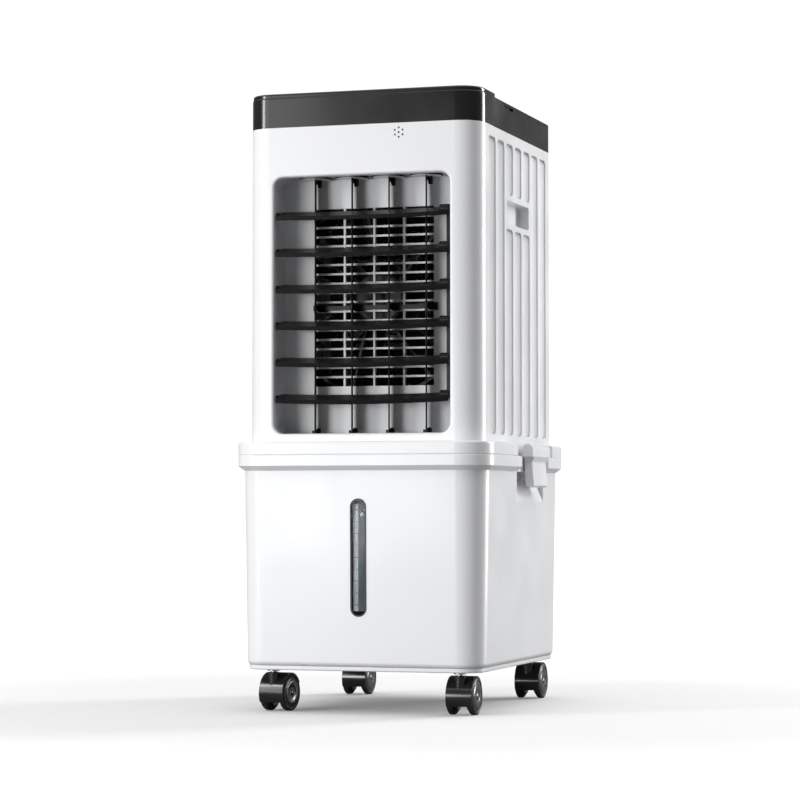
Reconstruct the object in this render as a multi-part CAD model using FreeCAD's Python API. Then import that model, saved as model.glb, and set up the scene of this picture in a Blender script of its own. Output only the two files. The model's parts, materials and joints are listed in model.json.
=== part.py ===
"""Evaporative air cooler on four swivel casters, built piece by piece.

Units are millimetres. The origin is on the floor under the middle of the cooler, +Z is up,
the air outlet faces -Y and the right-hand side is +X. Each piece is its own solid and is
written to parts/NAME.step.
"""
import FreeCAD, Part
import math
import os

V = FreeCAD.Vector
X_AXIS, Y_AXIS, Z_AXIS = V(1, 0, 0), V(0, 1, 0), V(0, 0, 1)

# ---------------------------------------------------------------- driving dimensions
BODY_WIDTH = 268.0          # housing, side to side
BODY_DEPTH = 319.0          # housing, front to back
BODY_HEIGHT = 346.2         # housing, between deck and top cover
BODY_CORNER = 27.0          # radius of the four upright corners
WALL = 3.0                  # moulded wall of the large shells

CASTER_HEIGHT = 46.8        # floor to the underside of the base
BASE_HEIGHT = 4.7           # base plate under the tank
TANK_HEIGHT = 212.7         # tank body, below its rim
TANK_TOP_OUT = 5.7          # tank's top stands this far outside the housing, each side
TANK_TOP_OUT_Y = 9.0        # the same, front and back
TANK_DRAFT = 3.2            # tank is narrower by this at its foot, each side
TANK_FOOT_ROUND = 5.0       # rounding of the tank's lower edge
RIM_OUT = 12.0              # rim and deck stand this far outside the housing, each side
RIM_OUT_Y = 17.5            # the same, front and back
RIM_BEVEL = 5.2             # height of the sloped underside of the rim
RIM_HEIGHT = 11.8           # upright part of the tank's rim
DECK_HEIGHT = 14.3          # deck edge above the rim
SEAM_BREAK = 0.9            # chamfer each side of the seam between rim and deck

COVER_HEIGHT = 33.3         # black top cover
LID_THICKNESS = 3.5         # fill lid plate
LID_FRONT = 99.5            # lid's front edge, behind the housing's front face
LID_HINGE_BACK = 41.5       # hinge line, ahead of the housing's rear face
HINGE_ROUND = 3.3           # outer radius of the lid's knuckles
HINGE_PIN = 1.25            # radius of the lid's hinge pin
PANEL_RISE = 4.7            # control panel above the cover
PANEL_DEPTH = 73.0          # control panel, front to back
FINGER_NOTCH = 38.0         # length of the finger notch under each side of the lid

OUTLET_SIDE = 33.0          # housing beside the outlet's clear opening
OUTLET_BOTTOM = 9.2         # clear opening starts this far above the deck
OUTLET_TOP = 55.0           # housing above it
OUTLET_CORNER = 11.0
OUTLET_ROUND = 3.0          # rounded mouth of the outlet
OUTLET_RETURN = 11.0        # depth of the mouth behind the front face
RECESS_DEPTH = 47.0         # front face to the back plate of the recess
DUCT_WALL = 2.4
GRILLE_SIDE = 32.0          # back plate beside the grille, to the clear opening's side
GRILLE_TOP = 31.3           # back plate above the grille
GRILLE_BOTTOM = 53.3        # back plate below the grille
GRILLE_BARS = 18            # horizontal bars
GRILLE_POSTS = 3            # vertical bars
GRILLE_BAR = 2.2            # width of every bar

LOUVRE_COUNT = 6
LOUVRE_LOWEST = 39.7        # lowest pivot above the clear opening's lower edge
LOUVRE_HIGHEST = 40.8       # highest pivot below its upper edge
LOUVRE_DEPTH = 9.6          # pivots behind the front face
LOUVRE_FRONT = 9.0          # blade ahead of its pivot at the ends
LOUVRE_REAR = 13.0          # blade behind its pivot at the ends
LOUVRE_BOW = 9.0            # forward bow of the front edge
LOUVRE_REAR_BOW = 7.0       # forward bow of the rear edge
LOUVRE_THICKNESS = 2.4
LOUVRE_LIP = 2.4            # front edge turns down by this much
LOUVRE_LIP_DEPTH = 3.2
LOUVRE_TILT = 17.5          # blades rest with their front edge down, degrees
PIVOT = 1.9                 # radius of the louvre and vane journals
LINK_FROM_WALL = 7.0        # gap between the louvre link and the mouth's right wall
LINK_WIDTH = 3.6            # louvre link, side to side
CRANK = 11.5                # crank pins behind the louvre pivots
CRANK_PIN = 1.5

VANE_COUNT = 4
VANE_SIDE = 36.8            # outer vanes' axes, inside the clear opening's sides
VANE_DEPTH = 34.5           # vane axes behind the front face
VANE_FRONT = 11.0
VANE_REAR = 9.5
VANE_THICKNESS = 1.8
VANE_TURN = 17.8            # vanes rest turned this far, degrees
VANE_DISC = 18.5            # radius of the half disc on top of each vane
VANE_CRANK = 8.0

RUNNING = 0.06              # radial clearance of journals and pins that turn
SLIP = 0.3                  # gap between parts that pass each other

FLUTE_COUNT = 7
FLUTE_END = 52.7            # outer flutes' middles, inside the housing's front and rear faces
FLUTE_WIDTH = 28.6
FLUTE_DEPTH = 9.5
FLUTE_LOW = 8.6             # lower end of the flutes above the deck
FLUTE_HIGH = 11.6           # upper end of the flutes below the top cover
HAND_WIDTH = 93.0
HAND_HEIGHT = 26.0
HAND_DEPTH = 12.0
HAND_LEVEL = 258.2          # middle of the hand hold above the deck
HAND_BAND = 38.0            # flat band between the shortened flutes
BACKING = 2.4               # plastic left behind flutes and pockets

LATCH_Y = 30.0              # middle of each latch, behind the cooler's middle
LATCH_WIDTH = 76.0
PADDLE_WIDTH = 59.0
LATCH_NOTCH = 150.0         # notch in the deck
RIM_NOTCH = 116.0           # notch in the tank's rim
LATCH_OUT = 7.0             # barrel stands outside the deck's edge
LATCH_ROUND = 6.1           # barrel radius
LATCH_PIN = 1.5
POCKET_DEPTH = 9.0          # finger pocket in the tank behind each latch

WINDOW_WIDTH = 18.4
WINDOW_HEIGHT = 128.0
WINDOW_LEVEL = 118.3        # middle of the level window above the tank's foot
SEAL_WIDTH = 1.5

CASTER_SIDE = 29.5          # swivel axes inside the tank's foot, each side
CASTER_INSET = 25.3         # swivel axes ahead of the tank's front and rear faces
CASTER_TRAIL = 14.0
WHEEL_RADIUS = 20.0
WHEEL_WIDTH = 10.0
CASTER_WIDTH = 31.4
HOOD_WALL = 1.5
STEM_RADIUS = 5.0
SPINDLE_RADIUS = 3.5
AXLE_RADIUS = 2.0
CASTER_TURNS = {"front_left": -8.0, "front_right": 0.0, "rear_left": 0.0, "rear_right": 0.0}

FAN_RADIUS = 105.0
FAN_RING_DEPTH = 42.0
FAN_BLADES = 7
FAN_PITCH = 32.0            # blade pitch, degrees
FAN_HUB = 30.0
MOTOR_RADIUS = 37.0
MOTOR_LENGTH = 42.0
SHAFT_RADIUS = 4.0

REAR_SIDE = 26.0            # housing beside the opening in its rear wall
REAR_TOP = 24.0             # housing above it
REAR_BOTTOM = 22.2          # opening starts this far above the deck
REAR_CORNER = 8.0
PAD_THICKNESS = 34.0
FILTER_BORDER = 12.0
FILTER_DEPTH = 7.5
FILTER_BARS = 23
HOSE_RADIUS = 5.5
HOSE_BORE = 4.0

# ---------------------------------------------------------------- levels and planes
HALF_X, HALF_Y = BODY_WIDTH / 2, BODY_DEPTH / 2
FRONT, REAR = -HALF_Y, HALF_Y
BASE_Z = CASTER_HEIGHT
TANK_Z = BASE_Z + BASE_HEIGHT
RIM_Z = TANK_Z + TANK_HEIGHT
SEAM_Z = RIM_Z + RIM_BEVEL + RIM_HEIGHT
DECK_Z = SEAM_Z + DECK_HEIGHT
COVER_Z = DECK_Z + BODY_HEIGHT
TOP_Z = COVER_Z + COVER_HEIGHT
RIM_X, RIM_Y = HALF_X + RIM_OUT, HALF_Y + RIM_OUT_Y
RIM_CORNER = BODY_CORNER + RIM_OUT - 4.0
TANK_X, TANK_Y = HALF_X + TANK_TOP_OUT, HALF_Y + TANK_TOP_OUT_Y
TANK_CORNER = BODY_CORNER + 3.0
OPEN_X = HALF_X - OUTLET_SIDE
OPEN_LOW = DECK_Z + OUTLET_BOTTOM
OPEN_HIGH = COVER_Z - OUTLET_TOP
BACK_PLATE = FRONT + RECESS_DEPTH
DUCT_GAP = 0.2
DUCT_X = OPEN_X + WALL + DUCT_GAP
DUCT_LOW, DUCT_HIGH = OPEN_LOW - WALL - DUCT_GAP, OPEN_HIGH + WALL + DUCT_GAP
GRILLE_LOW = OPEN_LOW + GRILLE_BOTTOM
GRILLE_HIGH = OPEN_HIGH - GRILLE_TOP
GRILLE_X = OPEN_X - GRILLE_SIDE
LOUVRE_Y = FRONT + LOUVRE_DEPTH
LOUVRE_PITCH = (OPEN_HIGH - OPEN_LOW - LOUVRE_LOWEST - LOUVRE_HIGHEST) / (LOUVRE_COUNT - 1)
LOUVRE_Z = [OPEN_LOW + LOUVRE_LOWEST + LOUVRE_PITCH * (LOUVRE_COUNT - 1 - i) for i in range(LOUVRE_COUNT)]
LINK_X = OPEN_X - LINK_FROM_WALL
VANE_Y = FRONT + VANE_DEPTH
VANE_PITCH = 2 * (OPEN_X - VANE_SIDE) / (VANE_COUNT - 1)
VANE_X = [VANE_PITCH * (i - (VANE_COUNT - 1) / 2) for i in range(VANE_COUNT)]
VANE_LOW, VANE_HIGH = DUCT_LOW + 2.6, DUCT_HIGH - 3.2
FAN_Z = (GRILLE_LOW + GRILLE_HIGH) / 2
FAN_FRONT = BACK_PLATE + 13.0
FAN_BACK = FAN_FRONT + FAN_RING_DEPTH
REAR_LOW = DECK_Z + REAR_BOTTOM
REAR_HIGH = COVER_Z - REAR_TOP
REAR_X = HALF_X - REAR_SIDE
FLUTE_PITCH = (BODY_DEPTH - 2 * FLUTE_END) / (FLUTE_COUNT - 1)
HOLDER_FRONT = REAR - WALL - 46.5
HINGE_Y = REAR - LID_HINGE_BACK
HINGE_Z = TOP_Z - HINGE_ROUND
LID_Z = TOP_Z - LID_THICKNESS
LID_Y = FRONT + LID_FRONT
CASTER_X = TANK_X - TANK_DRAFT - CASTER_SIDE
CASTER_Y = TANK_Y - TANK_DRAFT - CASTER_INSET
HOSE_X, HOSE_Y = -(HALF_X - WALL - 8.4), REAR - WALL - 18.5
PUMP_X, PUMP_Y = -60.0, 0.0


# ---------------------------------------------------------------- shape helpers
def box(x0, x1, y0, y1, z0, z1):
    """Block between two corners."""
    return Part.makeBox(x1 - x0, y1 - y0, z1 - z0, V(x0, y0, z0))


def rod(radius, start, axis, length):
    """Cylinder from a start point along an axis."""
    return Part.makeCylinder(radius, length, V(*start), axis)


def outline(corners, place):
    """Closed wire through (u, v, radius) corners, each rounded by its own radius."""
    count = len(corners)
    tangents = []
    for i, (u, v, radius) in enumerate(corners):
        here = V(u, v, 0)
        back = V(*corners[i - 1][:2], 0) - here
        ahead = V(*corners[(i + 1) % count][:2], 0) - here
        back.normalize()
        ahead.normalize()
        half = back.getAngle(ahead) / 2
        if radius > 0:
            reach = radius / math.tan(half)
            middle = back + ahead
            middle.normalize()
            crest = here + middle * (radius / math.sin(half) - radius)
            tangents.append((here + back * reach, crest, here + ahead * reach))
        else:
            tangents.append((here, None, here))
    edges = []
    for i, (start, crest, end) in enumerate(tangents):
        if crest is not None:
            edges.append(Part.Arc(place(start), place(crest), place(end)).toShape())
        following = tangents[(i + 1) % count][0]
        if (following - end).Length > 1e-6:
            edges.append(Part.LineSegment(place(end), place(following)).toShape())
    return Part.Wire(edges)


def flat(level):
    """Places an outline in the horizontal plane at a level."""
    return lambda p: V(p.x, p.y, level)


def upright(y):
    """Places an outline (x, z) in the plane that faces the front."""
    return lambda p: V(p.x, y, p.y)


def sideways(x):
    """Places an outline (y, z) in the plane that faces the side."""
    return lambda p: V(x, p.x, p.y)


def rectangle(u0, u1, v0, v1, radius):
    return [(u0, v0, radius), (u1, v0, radius), (u1, v1, radius), (u0, v1, radius)]


def slab(half_x, half_y, radius, z0, z1):
    """Upright block with rounded corners, centred on the cooler's axis."""
    wire = outline(rectangle(-half_x, half_x, -half_y, half_y, radius), flat(z0))
    return Part.Face(wire).extrude(V(0, 0, z1 - z0))


def taper(low, high):
    """Block between two centred rounded rectangles, each (half_x, half_y, radius, z)."""
    wires = [outline(rectangle(-a, a, -b, b, r), flat(z)) for a, b, r, z in (low, high)]
    return Part.makeLoft(wires, True, True)


def front_block(corners, y0, y1):
    """Outline in (x, z), extruded from y0 to y1."""
    return Part.Face(outline(corners, upright(y0))).extrude(V(0, y1 - y0, 0))


def side_block(corners, x0, x1):
    """Outline in (y, z), extruded from x0 to x1."""
    return Part.Face(outline(corners, sideways(x0))).extrude(V(x1 - x0, 0, 0))


def mirrored(shape):
    """The same shape on the cooler's other side."""
    return shape.mirror(V(0, 0, 0), X_AXIS)


def turned(shape, centre, axis, degrees):
    copy = shape.copy()
    copy.rotate(V(*centre), axis, degrees)
    return copy


def joined(shapes):
    """One solid made of several that meet."""
    result = shapes[0].multiFuse(shapes[1:]) if len(shapes) > 1 else shapes[0]
    return result.removeSplitter()


def cut_all(shape, tools):
    return shape.cut(Part.makeCompound(tools)) if tools else shape


def edges_where(shape, test):
    return [edge for edge in shape.Edges if test(edge)]


def at_level(z):
    return lambda edge: all(abs(v.Z - z) < 1e-3 for v in edge.Vertexes)


def save(name, shape):
    if not isinstance(shape, Part.Solid) and len(shape.Solids) == 1:
        shape = shape.Solids[0]
    if not shape.isValid():
        raise ValueError(name + " is not a valid solid")
    shape.exportStep("parts/" + name + ".step")
    print(f"{name}: {len(shape.Solids)} solid(s), {shape.Volume / 1000:.1f} cm3")


# ---------------------------------------------------------------- tank and base
def tank_skin(offset):
    """Tapered body of the tank, grown outwards by an offset."""
    foot = (TANK_X - TANK_DRAFT + offset, TANK_Y - TANK_DRAFT + offset, TANK_CORNER - TANK_DRAFT + offset)
    top = (TANK_X + offset, TANK_Y + offset, TANK_CORNER + offset)
    return taper((*foot, TANK_Z), (*top, RIM_Z))


def caster_places():
    return {
        "front_left": (-CASTER_X, -CASTER_Y), "front_right": (CASTER_X, -CASTER_Y),
        "rear_left": (-CASTER_X, CASTER_Y), "rear_right": (CASTER_X, CASTER_Y),
    }


BASE_SCREW_PLACES = [(x, y) for x in (-CASTER_X, CASTER_X) for y in (-70.0, 0.0, 70.0)]
SOCKET_RADIUS, SOCKET_HEIGHT = 11.0, 33.0


def window_outline(grow):
    half_x, half_z = WINDOW_WIDTH / 2 + grow, WINDOW_HEIGHT / 2 + grow
    middle = TANK_Z + WINDOW_LEVEL
    return rectangle(-half_x, half_x, middle - half_z, middle + half_z, half_x - 0.01)


def latch_pocket(grow):
    """Wedge-shaped finger pocket in the tank's right wall, with rounded upright ends."""
    half = RIM_NOTCH / 2 + grow
    top, foot = RIM_Z - 0.2 + grow, RIM_Z - 34.0 - grow
    depth = POCKET_DEPTH + grow
    wedge = [(TANK_X + 3, top, 0), (TANK_X - depth, top, 0), (TANK_X - depth, RIM_Z - 9 - grow, 4.0),
             (TANK_X - 0.4, foot, 0), (TANK_X + 3, foot, 0)]
    return front_block(wedge, LATCH_Y - half, LATCH_Y + half)


def water_tank():
    body = tank_skin(0)
    body = body.makeFillet(TANK_FOOT_ROUND, edges_where(body, at_level(TANK_Z)))
    bevel = taper((TANK_X, TANK_Y, TANK_CORNER, RIM_Z), (RIM_X, RIM_Y, RIM_CORNER, RIM_Z + RIM_BEVEL))
    rim = slab(RIM_X, RIM_Y, RIM_CORNER, RIM_Z + RIM_BEVEL, SEAM_Z)
    rim = rim.makeChamfer(SEAM_BREAK, edges_where(rim, at_level(SEAM_Z)))
    tank = joined([body, bevel, rim])
    inside = taper((TANK_X - TANK_DRAFT - WALL, TANK_Y - TANK_DRAFT - WALL, TANK_CORNER - TANK_DRAFT - WALL,
                    TANK_Z + WALL), (TANK_X - WALL, TANK_Y - WALL, TANK_CORNER - WALL, RIM_Z))
    mouth = slab(TANK_X - WALL, TANK_Y - WALL, TANK_CORNER - WALL, RIM_Z, SEAM_Z + 1)
    tank = tank.cut(joined([inside, mouth]))
    skin = tank_skin(0)
    pockets = [latch_pocket(BACKING).common(skin), mirrored(latch_pocket(BACKING).common(skin))]
    towers = [rod(SOCKET_RADIUS + SLIP + WALL, (x, y, TANK_Z), Z_AXIS, SOCKET_HEIGHT + WALL)
              for x, y in caster_places().values()]
    bosses = [rod(5.0, (x, y, TANK_Z + WALL / 2), Z_AXIS, 10.0) for x, y in BASE_SCREW_PLACES]
    tank = joined([tank] + pockets + towers + bosses)
    cuts = [rod(SOCKET_RADIUS + SLIP, (x, y, TANK_Z - 1), Z_AXIS, SOCKET_HEIGHT + 1.3)
            for x, y in caster_places().values()]
    cuts += [rod(1.6, (x, y, TANK_Z - 1), Z_AXIS, 9.0) for x, y in BASE_SCREW_PLACES]
    cuts += [latch_pocket(0), mirrored(latch_pocket(0))]
    notch = box(TANK_X, RIM_X + 2, LATCH_Y - RIM_NOTCH / 2, LATCH_Y + RIM_NOTCH / 2, RIM_Z - 0.3, SEAM_Z + 1)
    cuts += [notch, mirrored(notch)]
    cuts.append(front_block(window_outline(0), -TANK_Y - 5, -TANK_Y + 12))
    tank = cut_all(tank, cuts)
    rib = box(TANK_X - POCKET_DEPTH - 1, TANK_X - 0.6, LATCH_Y - 18, LATCH_Y + 18, RIM_Z - 3.2, RIM_Z + 0.8)
    return joined([tank, rib, mirrored(rib)])


def tank_base():
    plate = slab(TANK_X - TANK_DRAFT - 2.2, TANK_Y - TANK_DRAFT - 2.2, TANK_CORNER - TANK_DRAFT - 2.2, BASE_Z, TANK_Z)
    plate = plate.makeFillet(1.5, edges_where(plate, at_level(BASE_Z)))
    recess = slab(CASTER_X - 20, CASTER_Y - 20, 8.0, BASE_Z - 1, BASE_Z + 2.2)
    ribs = [box(-2, 2, -CASTER_Y, CASTER_Y, BASE_Z, BASE_Z + 3), box(-CASTER_X, CASTER_X, -2, 2, BASE_Z, BASE_Z + 3)]
    plate = joined([plate.cut(recess)] + ribs)
    sockets = [rod(SOCKET_RADIUS, (x, y, BASE_Z + 1), Z_AXIS, BASE_HEIGHT - 1 + SOCKET_HEIGHT)
               for x, y in caster_places().values()]
    bores = [rod(STEM_RADIUS, (x, y, BASE_Z - 1), Z_AXIS, 32.0) for x, y in caster_places().values()]
    bores += [rod(1.6, (x, y, BASE_Z - 1), Z_AXIS, BASE_HEIGHT + 2) for x, y in BASE_SCREW_PLACES]
    return cut_all(joined([plate] + sockets), bores)


def window_parts():
    """Rubber surround and clear strip of the water-level window, flush with the sloping wall."""
    opening = front_block(window_outline(0), -TANK_Y - 5, -TANK_Y + 12)
    middle = front_block(window_outline(-SEAL_WIDTH), -TANK_Y - 5, -TANK_Y + 12)
    seal = opening.common(tank_skin(0.35)).cut(tank_skin(-WALL - 0.6)).cut(middle)
    lens = middle.common(tank_skin(-0.5)).cut(tank_skin(-WALL))
    return seal, lens


def caster_stems():
    stems = []
    for x, y in caster_places().values():
        stem = joined([rod(STEM_RADIUS, (x, y, BASE_Z - 0.6), Z_AXIS, 30.0),
                       rod(7.0, (x, y, BASE_Z - 2.2), Z_AXIS, 2.1),
                       rod(SPINDLE_RADIUS, (x, y, WHEEL_RADIUS + 6), Z_AXIS, BASE_Z - WHEEL_RADIUS - 8)])
        stems.append(stem)
    return Part.makeCompound(stems)


def caster_hood(x, y, turn):
    """Drum-shaped hood over both wheels, with the upright stem boss at its front."""
    wheel_y, reach = y + CASTER_TRAIL, WHEEL_RADIUS + 0.6
    half = CASTER_WIDTH / 2 - 1.2
    drum = rod(reach + HOOD_WALL, (x - half, wheel_y, WHEEL_RADIUS), X_AXIS, 2 * half)
    boss = rod(6.2, (x, y, WHEEL_RADIUS + 5), Z_AXIS, CASTER_HEIGHT - WHEEL_RADIUS - 8.6)
    boss = boss.makeFillet(0.8, edges_where(boss, at_level(CASTER_HEIGHT - 3.6)))
    hood = joined([drum, boss])
    inner = CASTER_WIDTH / 2 - WHEEL_WIDTH - 0.5
    cavity = rod(reach, (x + inner, wheel_y, WHEEL_RADIUS), X_AXIS, CASTER_WIDTH)
    other = rod(reach, (x - inner - CASTER_WIDTH, wheel_y, WHEEL_RADIUS), X_AXIS, CASTER_WIDTH)
    below = box(x - 30, x + 30, y - 40, y + 60, -5, WHEEL_RADIUS / 2)
    behind = front_like_wedge(x, wheel_y)
    bores = [rod(SPINDLE_RADIUS + RUNNING, (x, y, WHEEL_RADIUS + 2), Z_AXIS, CASTER_HEIGHT),
             rod(AXLE_RADIUS, (x - 30, wheel_y, WHEEL_RADIUS), X_AXIS, 60)]
    hood = cut_all(hood, [cavity, other, below, behind] + bores)
    return turned(hood, (x, y, 0), Z_AXIS, turn)


def front_like_wedge(x, wheel_y):
    """Space behind the wheels that the hood leaves open."""
    shape = [(wheel_y + 5, -5, 0), (wheel_y + 40, -5, 0), (wheel_y + 40, WHEEL_RADIUS + 10, 0),
             (wheel_y + 12, WHEEL_RADIUS + 10, 0), (wheel_y + 5, WHEEL_RADIUS - 6, 0)]
    return side_block(shape, x - 30, x + 30)


def caster_axle(x, y, turn):
    half = CASTER_WIDTH / 2 - 2.6
    pin = rod(AXLE_RADIUS, (x - half, y + CASTER_TRAIL, WHEEL_RADIUS), X_AXIS, 2 * half)
    return turned(pin, (x, y, 0), Z_AXIS, turn)


def caster_wheel(x, y, turn, side):
    """Wheel with a rounded tread and a dished, domed outer face. side is -1 or 1."""
    inner = CASTER_WIDTH / 2 - WHEEL_WIDTH
    outer = CASTER_WIDTH / 2
    bore, rim = AXLE_RADIUS + RUNNING, WHEEL_RADIUS
    half = [(inner, bore, 0), (inner, rim - 5.0, 2.0), (inner + 3.6, rim, 2.0), (outer - 1.0, rim, 0.9),
            (outer, rim - 2.2, 0.6), (outer - 0.9, rim - 3.0, 0.3), (outer - 0.2, rim - 8.0, 6.0),
            (outer - 0.2, 3.6, 0.5), (outer - 2.2, 3.0, 0), (outer - 2.2, bore, 0)]
    shape = [(side * u, v, r) for u, v, r in half]
    wire = outline(shape, lambda p: V(x + p.x, y + CASTER_TRAIL, WHEEL_RADIUS + p.y))
    wheel = Part.Face(wire).revolve(V(x, y + CASTER_TRAIL, WHEEL_RADIUS), X_AXIS, 360)
    return turned(wheel, (x, y, 0), Z_AXIS, turn)


# ---------------------------------------------------------------- deck and latches
PIVOT_X = RIM_X + LATCH_OUT - LATCH_ROUND
PIVOT_Z = DECK_Z - LATCH_ROUND - 0.2
LATCH_FLOOR_X = HALF_X + 0.9
LUG_RADIUS, LUG_WIDTH = 4.0, 18.0


def deck():
    """Plate that closes the tank and carries the housing, with a skirt inside the tank's mouth."""
    plate = slab(RIM_X, RIM_Y, RIM_CORNER, SEAM_Z, DECK_Z)
    plate = plate.makeFillet(2.4, edges_where(plate, at_level(DECK_Z)))
    plate = plate.makeChamfer(SEAM_BREAK, edges_where(plate, at_level(SEAM_Z)))
    hollow = slab(RIM_X - WALL, RIM_Y - WALL, RIM_CORNER - WALL, SEAM_Z - 1, DECK_Z - 2.8)
    skirt_x, skirt_y, corner = TANK_X - WALL - SLIP, TANK_Y - WALL - SLIP, TANK_CORNER - WALL - SLIP
    skirt = slab(skirt_x, skirt_y, corner, RIM_Z + 8, DECK_Z - 1)
    skirt = skirt.cut(slab(skirt_x - 2.4, skirt_y - 2.4, corner - 2.4, RIM_Z, DECK_Z))
    half = LATCH_NOTCH / 2
    lining = box(LATCH_FLOOR_X - 2.4, LATCH_FLOOR_X, LATCH_Y - half - 2.4, LATCH_Y + half + 2.4, SEAM_Z, DECK_Z - 1)
    ends = [box(LATCH_FLOOR_X - 1, RIM_X - 1, y, y + 2.4, SEAM_Z, DECK_Z - 1)
            for y in (LATCH_Y - half - 2.4, LATCH_Y + half)]
    linings = [lining] + ends
    body = joined([plate.cut(hollow), skirt] + linings + [mirrored(s) for s in linings])
    notch = box(LATCH_FLOOR_X, RIM_X + 5, LATCH_Y - half, LATCH_Y + half, SEAM_Z - 1, DECK_Z + 1)
    drains = [box(x - 14, x + 14, REAR - 48, REAR - 22, DECK_Z - 5, DECK_Z + 1) for x in (-75, -25, 25, 75)]
    hose_way = rod(HOSE_RADIUS + 0.7, (HOSE_X, HOSE_Y, DECK_Z - 5), Z_AXIS, 10)
    body = cut_all(body, [notch, mirrored(notch), hose_way] + drains)
    lug = joined([rod(LUG_RADIUS, (PIVOT_X, LATCH_Y - LUG_WIDTH / 2, PIVOT_Z), Y_AXIS, LUG_WIDTH),
                  box(LATCH_FLOOR_X - 1, PIVOT_X, LATCH_Y - LUG_WIDTH / 2, LATCH_Y + LUG_WIDTH / 2,
                      PIVOT_Z - 3.2, PIVOT_Z + 3.2)])
    bore = rod(LATCH_PIN, (PIVOT_X, LATCH_Y - LUG_WIDTH, PIVOT_Z), Y_AXIS, 2 * LUG_WIDTH)
    lug = lug.cut(bore)
    return joined([body, lug, mirrored(lug)])


def latch():
    """Right-hand latch: a hinged barrel with a hanging paddle and an inner hook."""
    half = LATCH_WIDTH / 2
    flat_z = SEAM_Z - 0.1
    top_z = PIVOT_Z
    barrel = joined([rod(LATCH_ROUND, (PIVOT_X, LATCH_Y - half, PIVOT_Z), Y_AXIS, LATCH_WIDTH),
                     box(PIVOT_X - LATCH_ROUND, PIVOT_X + LATCH_ROUND, LATCH_Y - half, LATCH_Y + half,
                         flat_z, top_z)])
    out = PIVOT_X + LATCH_ROUND
    profile = [(out - 0.6, flat_z + 3, 0), (out - 0.2, flat_z, 1.5), (out - 3.2, flat_z - 6, 6.0),
               (out - 2.2, flat_z - 20, 12.0), (out - 1.0, flat_z - 33.2, 1.6), (out - 6, flat_z - 34.6, 3.0),
               (out - 10.0, flat_z - 33.6, 1.2), (out - 11.4, flat_z - 22, 10.0), (out - 12.0, flat_z - 8, 6.0),
               (out - 12.0, flat_z + 3, 0)]
    paddle = front_block(profile, LATCH_Y - PADDLE_WIDTH / 2, LATCH_Y + PADDLE_WIDTH / 2)
    hook_top = RIM_Z - 3.2 - 0.5
    hook = front_block([(TANK_X - 4.6, hook_top - 4.6, 1.0), (out - 9, hook_top - 4.6, 0), (out - 9, hook_top, 0),
                        (TANK_X - 4.6, hook_top, 0.6)], LATCH_Y - 16, LATCH_Y + 16)
    body = joined([barrel, paddle, hook])
    slot_half = LUG_WIDTH / 2 + SLIP
    slot = joined([rod(LUG_RADIUS + 0.35, (PIVOT_X, LATCH_Y - slot_half, PIVOT_Z), Y_AXIS, 2 * slot_half),
                   box(PIVOT_X - 12, PIVOT_X, LATCH_Y - slot_half, LATCH_Y + slot_half,
                       PIVOT_Z - LUG_RADIUS - 0.35, PIVOT_Z + 12)])
    bore = rod(LATCH_PIN + RUNNING, (PIVOT_X, LATCH_Y - half + 3, PIVOT_Z), Y_AXIS, LATCH_WIDTH)
    return cut_all(body, [slot, bore])


def latch_pins():
    half = LATCH_WIDTH / 2
    pin = rod(LATCH_PIN, (PIVOT_X, LATCH_Y - half + 4, PIVOT_Z), Y_AXIS, LATCH_WIDTH - 5)
    return Part.makeCompound([pin, mirrored(pin)])


# ---------------------------------------------------------------- housing
def flute(y0, z0, z1, grow):
    """One flute in the right side: deep at its front edge, rising to the surface at its rear."""
    depth = FLUTE_DEPTH + grow
    a, b = y0 - grow, y0 + FLUTE_WIDTH + grow
    surface = HALF_X + (1.0 if grow == 0 else -1.0)
    start, deep = V(surface, a, z0 - grow), V(HALF_X - depth, a + 2.2, z0 - grow)
    bend, end = V(HALF_X - 0.62 * depth, a + 0.55 * (b - a), z0 - grow), V(HALF_X - 0.6 - grow / 2, b, z0 - grow)
    out = V(surface, b, z0 - grow)
    edges = [Part.LineSegment(start, deep).toShape(), Part.Arc(deep, bend, end).toShape(),
             Part.LineSegment(end, out).toShape(), Part.LineSegment(out, start).toShape()]
    wedge = Part.Face(Part.Wire(edges)).extrude(V(0, 0, z1 - z0 + 2 * grow))
    frame = side_block(rectangle(a, b, z0 - grow, z1 + grow, 6.0), HALF_X - 30, HALF_X + 5)
    return wedge.common(frame)


def flute_spans():
    """(front edge, lower end, upper end) of every flute run on one side."""
    low, high = DECK_Z + FLUTE_LOW, COVER_Z - FLUTE_HIGH
    middle = DECK_Z + HAND_LEVEL
    spans = []
    for i in range(FLUTE_COUNT):
        y0 = FLUTE_PITCH * (i - (FLUTE_COUNT - 1) / 2) - FLUTE_WIDTH / 2
        if abs(y0 + FLUTE_WIDTH / 2) < HAND_WIDTH / 2:
            spans += [(y0, low, middle - HAND_BAND / 2), (y0, middle + HAND_BAND / 2, high)]
        else:
            spans.append((y0, low, high))
    return spans


def hand_hold(grow):
    middle = DECK_Z + HAND_LEVEL
    half_y, half_z = HAND_WIDTH / 2 + grow, HAND_HEIGHT / 2 + grow
    outer = HALF_X + (1.0 if grow == 0 else -1.0)
    return side_block(rectangle(-half_y, half_y, middle - half_z, middle + half_z, 4.0 + grow),
                      HALF_X - HAND_DEPTH - grow, outer)


def mouth(grow, depth):
    """Block as large as the outlet's clear opening, grown by a wall."""
    return front_block(rectangle(-OPEN_X - grow, OPEN_X + grow, OPEN_LOW - grow, OPEN_HIGH + grow,
                                 OUTLET_CORNER + grow), FRONT, FRONT + depth)


SOUNDER_X, SOUNDER_Z, SOUNDER_RING, SOUNDER_HOLE = 43.5, COVER_Z - 10.4, 5.1, 1.15


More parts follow.
